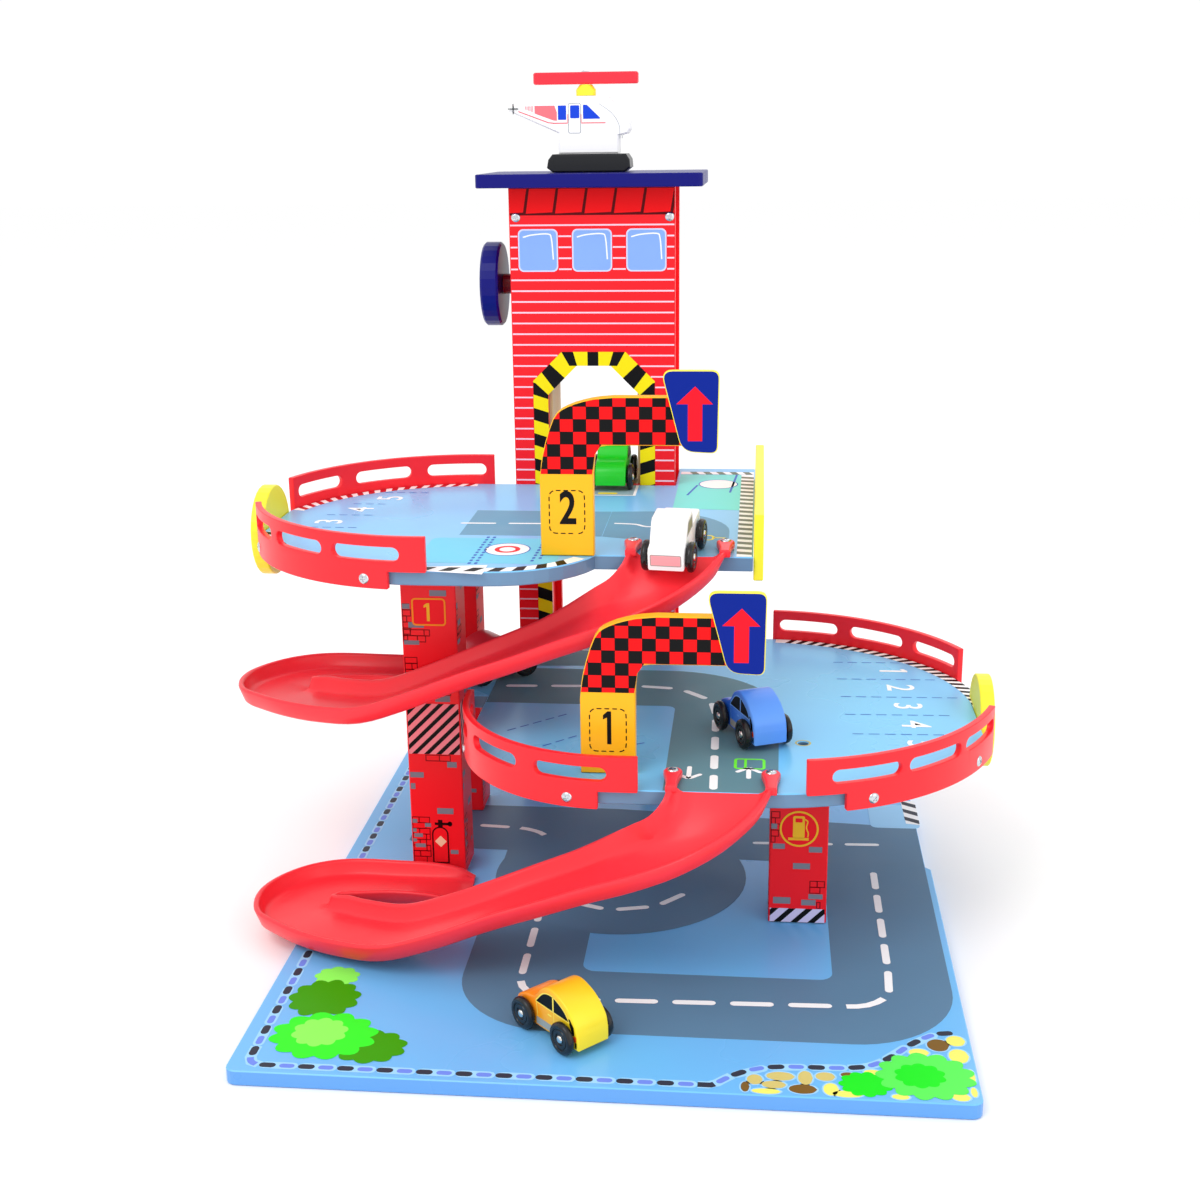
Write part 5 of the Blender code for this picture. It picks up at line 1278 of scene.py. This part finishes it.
CAR_HALF_W = 11.0
SALOON = ((-27.6, 12.0), (-25.4, 19.5), (-17.2, 27.5), (-5.1, 31.8), (3.6, 29.5), (10.6, 22.2),
          (19.3, 20.0), (25.6, 16.5), (28.0, 11.0))
PICKUP = ((-27.9, 20.5), (-27.4, 21.5), (-5.1, 21.5), (-4.1, 30.0), (-2.5, 31.5), (11.2, 31.5),
          (13.7, 30.0), (20.8, 19.0), (26.4, 17.8), (28.0, 15.0))


def car_body(name, outline, finish):
    """Smooth block in place of the plain CAD body."""
    place = car_place(name)
    turn = Matrix.Rotation(math.pi / 2, 4, "X")
    mesh = extruded_mesh("car_%s_shell" % name, outline, 2 * CAR_HALF_W, 1.2, 3)
    mesh.transform(turn)
    mesh.transform(Matrix.Translation((0, 0, SEAT_GAP * MM)))
    obj = piece("car_%s_shell" % name, mesh, finish, "car_" + name, place)
    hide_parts("car_%s_body" % name)
    return place


def car_sides(name, place, prints):
    """The same prints on both flanks: (ending, shapes, ink, layer)."""
    for side, way in (("left", 1), ("right", -1)):
        local = facing((-way, 0, 0), (0, way, 0), (0, way * CAR_HALF_W * MM, SEAT_GAP * MM))
        for ending, shapes, finish, layer in prints:
            shown = [[(-way * x, z) for x, z in shape] for shape in shapes]
            print_on("car_%s_%s_%s" % (name, side, ending), shown, place @ local, finish, layer,
                     "car_" + name)


def wheels():
    """Turned tyres and bright axle ends in place of the plain wheelsets."""
    tyre = surface("tyre_black", (22, 22, 24), 0.28, drift=0.1, drift_scale=120.0, skin=0.12,
                   skin_scale=1800.0, coat=0.15)
    steel = surface("axle_steel", (214, 214, 210), 0.2, drift=0.06, drift_scale=400.0, skin=0.05,
                    skin_scale=2600.0, metallic=1.0)
    inner, outer = 11.4, 15.9
    profile = [(inner, 0), (inner, 7.3), (inner + 0.6, 8.6), (inner + 1.5, 9.3), (outer - 1.5, 9.3),
               (outer - 0.5, 8.7), (outer, 7.6), (outer - 0.15, 6.4), (outer - 0.7, 6.1),
               (outer - 0.7, 5.6), (outer - 0.25, 5.3), (outer - 0.3, 3.6), (outer - 0.9, 3.3),
               (outer - 0.9, 0)]
    cap = [(outer - 1.4, 0), (outer - 1.4, 2.3), (outer - 0.4, 2.3), (outer + 0.1, 1.9),
           (outer + 0.4, 1.1), (outer + 0.5, 0)]
    shaft = [(-outer + 1.2, 0), (-outer + 1.2, 1.4), (outer - 1.2, 1.4), (outer - 1.2, 0)]
    for name in (*CARS, "white"):
        place = car_place(name)
        for end, x in (("front", AXLE_X), ("rear", -AXLE_X)):
            body = "car_%s_%s_axle" % (name, end)
            hub = place @ Matrix.Translation((x * MM, 0, WHEEL_RADIUS * MM))
            node = "car_%s_%s_wheels" % (name, end)
            for side, turn in (("left", -90), ("right", 90)):
                aim = hub @ Matrix.Rotation(math.radians(turn), 4, "X")
                wheel = piece("%s_%s_tyre" % (node, side), turned_mesh("tyre", profile, 44), tyre, body, aim)
                piece("%s_%s_cap" % (node, side), turned_mesh("cap", cap, 28), steel, body, aim)
                if side == "left":
                    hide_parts(node)
            aim = hub @ Matrix.Rotation(math.pi / 2, 4, "X")
            piece(node + "_shaft", turned_mesh("axle", shaft, 20), steel, body, aim)


# Colours at the nose and at the tail of each saloon; each body turns lighter towards its tail
CARS = {"yellow": ((255, 142, 20), (250, 222, 34)), "blue": ((30, 104, 228), (96, 160, 252)),
        "red": ((236, 20, 40), (250, 60, 76)), "green": ((12, 196, 34), (70, 232, 54))}


def cars():
    """Bodies and flank prints of the five cars."""
    outline = [(CAR_LENGTH_HALF, 4.5), (-27.6, 4.5)] + smooth_line(SALOON, 7)
    glass = smooth_line([(-20.5, 19.6), (-15.5, 24.6), (-6.5, 28.4), (1.8, 27.0), (8.6, 20.4)], 5)
    glass += [(8.6, 19.4), (-20.5, 19.0)]
    for name, (colour, tail) in CARS.items():
        finish = surface("car_%s_paint" % name, colour, 0.34, drift=0.05, drift_scale=40.0, skin=0.14,
                         skin_scale=700.0, coat=0.15, tail=tail)
        place = car_body(name, outline, finish)
        edge = "trim_" + name
        prints = [("glass", [glass], "black", 1),
            ("trim", band(glass, 0.7, True) + [rect(-7.2, 19.0, -6.0, 28.6)], edge, 2),
            ("quarter", [[(-25.2, 12.8), (-23.4, 12.8), (-19.4, 20.8), (-21.2, 21.4), (-24.6, 17.6)]],
            "black", 1), ("sill", [rect(-8.6, 6.0, 8.6, 10.4)], "sill_grey", 1),
            ("door", band([(-7.0, 18.8), (-7.0, 10.6)], 0.5) + band([(8.4, 19.2), (7.4, 10.6)], 0.5)
            + [rounded(-5.0, 15.4, -1.6, 16.4, 0.4)], edge, 1),
            ("lamp", [rounded(-26.6, 9.6, -24.4, 13.0, 0.8)], "lamp_orange", 2),
            ("bumper", [rect(-26.8, 6.0, -25.4, 9.4), rect(25.6, 6.0, 27.0, 9.5)], "black", 1),]
        car_sides(name, place, prints)
    finish = surface("car_white_skin", (248, 248, 250), 0.4, drift=0.02, drift_scale=40.0, skin=0.08,
                     skin_scale=700.0, coat=0.1)
    place = car_body("white", [(CAR_LENGTH_HALF, 4.5), (-27.9, 4.5)] + list(PICKUP), finish)
    car_sides("white", place, [
        ("glass", [[(-2.0, 21.0), (-2.0, 28.8), (10.4, 28.8), (16.0, 21.0)]], "seam_grey", 1),
        ("pane", [[(-1.0, 22.0), (-1.0, 27.8), (9.8, 27.8), (14.0, 22.0)]], "pane_olive", 2),
        ("door", band([(-3.2, 29.0), (-3.2, 8.0), (9.6, 8.0)], 0.5), "seam_grey", 1),
        ("sill", [rect(-8.0, 5.6, 8.0, 7.4)], "sill_grey", 1),
    ])
    nose = place @ facing((0, 1, 0), (1, 0, 0), (CAR_LENGTH_HALF * MM, 0, SEAT_GAP * MM))
    grille = rounded(-9.2, 7.4, 9.2, 14.2, 0.6)
    print_on("car_white_grille", [grille], nose, "grille_pink", 1, "car_white")
    print_on("car_white_grille_line", band(grille, 0.5, True), nose, "sill_grey", 2, "car_white")


def helicopter_prints():
    """Windows, door, stripes and tail rotor of the helicopter."""
    low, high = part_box("helicopter_body")
    rotor_low, rotor_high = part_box("helicopter_rotor")
    x = (rotor_low.x + rotor_high.x) / 2
    foot = low.z
    panes = [rounded(-19.0, 22.9, -13.2, 32.6, 0.5), rounded(-10.4, 23.9, -3.9, 32.6, 0.8),
             [(-1.3, 23.4), (10.5, 23.4), (10.5, 24.3), (1.4, 32.9), (-1.3, 32.9)]]
    trim = [[(-35.5, 27.4), (-22.3, 22.6), (-19.8, 22.4), (-19.8, 28.0), (-21.4, 32.6), (-35.5, 32.6)],
            rect(-22.3, 20.3, -12.2, 21.1), rect(-2.6, 20.3, 14.5, 21.1), rect(-12.4, 21.1, -11.9, 26.7),
            rect(-2.9, 21.1, -2.4, 26.7)]
    trim += band([(-47.0, 28.9), (-26.0, 21.2), (-22.0, 20.7)], 0.8)
    trim += [rect(-37.0 - i, 28.3 + 0.36 * i, -36.5 - i, 32.4) for i in range(6)]
    seams = band(rounded(-11.7, 13.9, -3.1, 34.0, 1.2), 0.4, True) + band(smooth_line(
        [(10, 33.5), (19, 27), (24, 19), (24.5, 10)], 4), 0.3)
    inks = (("panes", panes, "cockpit_blue"), ("trim", trim, "trim_red"), ("seams", seams, "line_grey"))
    for side, way, plane in both_faces(x, low.y, high.y, foot):
        for ending, shapes, finish in inks:
            print_on("helicopter_%s_%s" % (side, ending), moved(shapes, 0, 0, 0, (way, 1)), plane, finish, 1,
                     "helicopter")
    for index, turn in enumerate((0, 90)):
        blade = extruded_mesh("tail_rotor_%d" % index, rounded(-3.6, -0.35, 3.6, 0.35, 0.3), 0.7, 0.2, 2)
        hub = facing((1, 0, 0), (0, -1, 0), (x - 50.6 * MM, low.y - 0.5 * MM, foot + 30.7 * MM))
        piece("tail_rotor_%d" % index, blade, ink("rotor_grey"), "helicopter",
              hub @ Matrix.Rotation(math.radians(turn), 4, "Z"))


def lift_cords():
    """Two-ply cords between the spools and the lift's cheeks."""
    finish = surface("cord_cotton", (214, 206, 186), 0.85, drift=0.12, drift_scale=700.0, skin=0.4,
                     skin_scale=2600.0)
    for side in ("left", "right"):
        node = "lift_cord_" + side
        low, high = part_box(node)
        cx, cy = (low.x + high.x) / 2, (low.y + high.y) / 2
        bm = bmesh.new()
        turns, steps = 22, 220
        for ply in (0, math.pi):
            rings = []
            for i in range(steps + 1):
                share = i / steps
                angle = math.tau * turns * share + ply
                centre = Vector((cx + CORD_LAY * math.cos(angle), cy + CORD_LAY * math.sin(angle),
                                 low.z + (high.z - low.z) * share))
                rings.append([bm.verts.new(centre + Vector((PLY_RADIUS * math.cos(math.tau * k / 6),
                                                            PLY_RADIUS * math.sin(math.tau * k / 6), 0)))
                              for k in range(6)])
            skin(bm, rings)
            bm.faces.new(list(reversed(rings[0])))
            bm.faces.new(rings[-1])
        mesh = mesh_from(bm, node + "_twist")
        mesh.shade_smooth()
        cord = linked(node + "_twist", mesh)
        cord.data.materials.append(finish)
        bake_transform(cord)
        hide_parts(node)


def stage():
    """Pale table, soft lamps and the photograph's camera."""
    table = bpy.data.materials.new("table")
    table.use_nodes = True
    shader = table.node_tree.nodes["Principled BSDF"]
    shader.inputs["Base Color"].default_value = (0.97, 0.97, 0.97, 1)
    shader.inputs["Roughness"].default_value = 1.0
    shader.inputs["Specular IOR Level"].default_value = 0.0
    bm = bmesh.new()
    bmesh.ops.create_grid(bm, x_segments=2, y_segments=2, size=12.0)
    floor = linked("table_top", mesh_from(bm, "table_top"))
    floor.data.materials.append(table)
    floor.location.z = -0.0002
    world = bpy.data.worlds.new("studio")
    bpy.context.scene.world = world
    world.use_nodes = True
    tree = world.node_tree
    sky = tree.nodes["Background"]
    sky.inputs["Color"].default_value = (1.0, 1.0, 1.0, 1)
    path = tree.nodes.new("ShaderNodeLightPath")
    strength = tree.nodes.new("ShaderNodeMapRange")
    link(tree, path.outputs["Is Camera Ray"], strength.inputs["Value"])
    strength.inputs["To Min"].default_value = 1.03
    strength.inputs["To Max"].default_value = 1.02
    link(tree, strength.outputs["Result"], sky.inputs["Strength"])
    for name, place, size, power in (("key", (-0.9, -1.3, 1.9), 1.2, 16.0),
            ("fill", (1.5, -1.1, 1.0), 1.6, 6.0), ("back", (0.2, 1.5, 1.6), 1.2, 4.0)):
        lamp = bpy.data.lights.new(name, "AREA")
        lamp.size = size
        lamp.energy = power
        obj = linked(name, lamp)
        obj.location = place
        obj.rotation_euler = (Vector((0, 0.05, 0.2)) - Vector(place)).to_track_quat("-Z", "Y").to_euler()
    camera = bpy.data.cameras.new("camera")
    camera.sensor_width = 36.0
    camera.lens = 47.67
    view = linked("camera", camera)
    yaw, pitch, roll = (math.radians(a) for a in (5.822, 16.21, -0.714))
    ahead = Vector((-math.sin(yaw) * math.cos(pitch), math.cos(yaw) * math.cos(pitch), -math.sin(pitch)))
    side = Vector((math.cos(yaw), math.sin(yaw), 0))
    up = side.cross(ahead)
    tilted = side * math.cos(roll) + up * math.sin(roll)
    up = -side * math.sin(roll) + up * math.cos(roll)
    matrix = Matrix((tilted, up, -ahead)).transposed().to_4x4()
    matrix.translation = (0.0794, -0.9613, 0.4850)
    view.matrix_world = matrix
    bpy.context.scene.camera = view
    bpy.context.scene.view_settings.view_transform = "Standard"


stage()
finish_nodes()
base_prints()
deck_1_prints()
deck_2_prints()
tower_prints()
column_prints()
ramps()
rails()
sign_prints()
screws()
cars()
wheels()
helicopter_prints()
lift_cords()
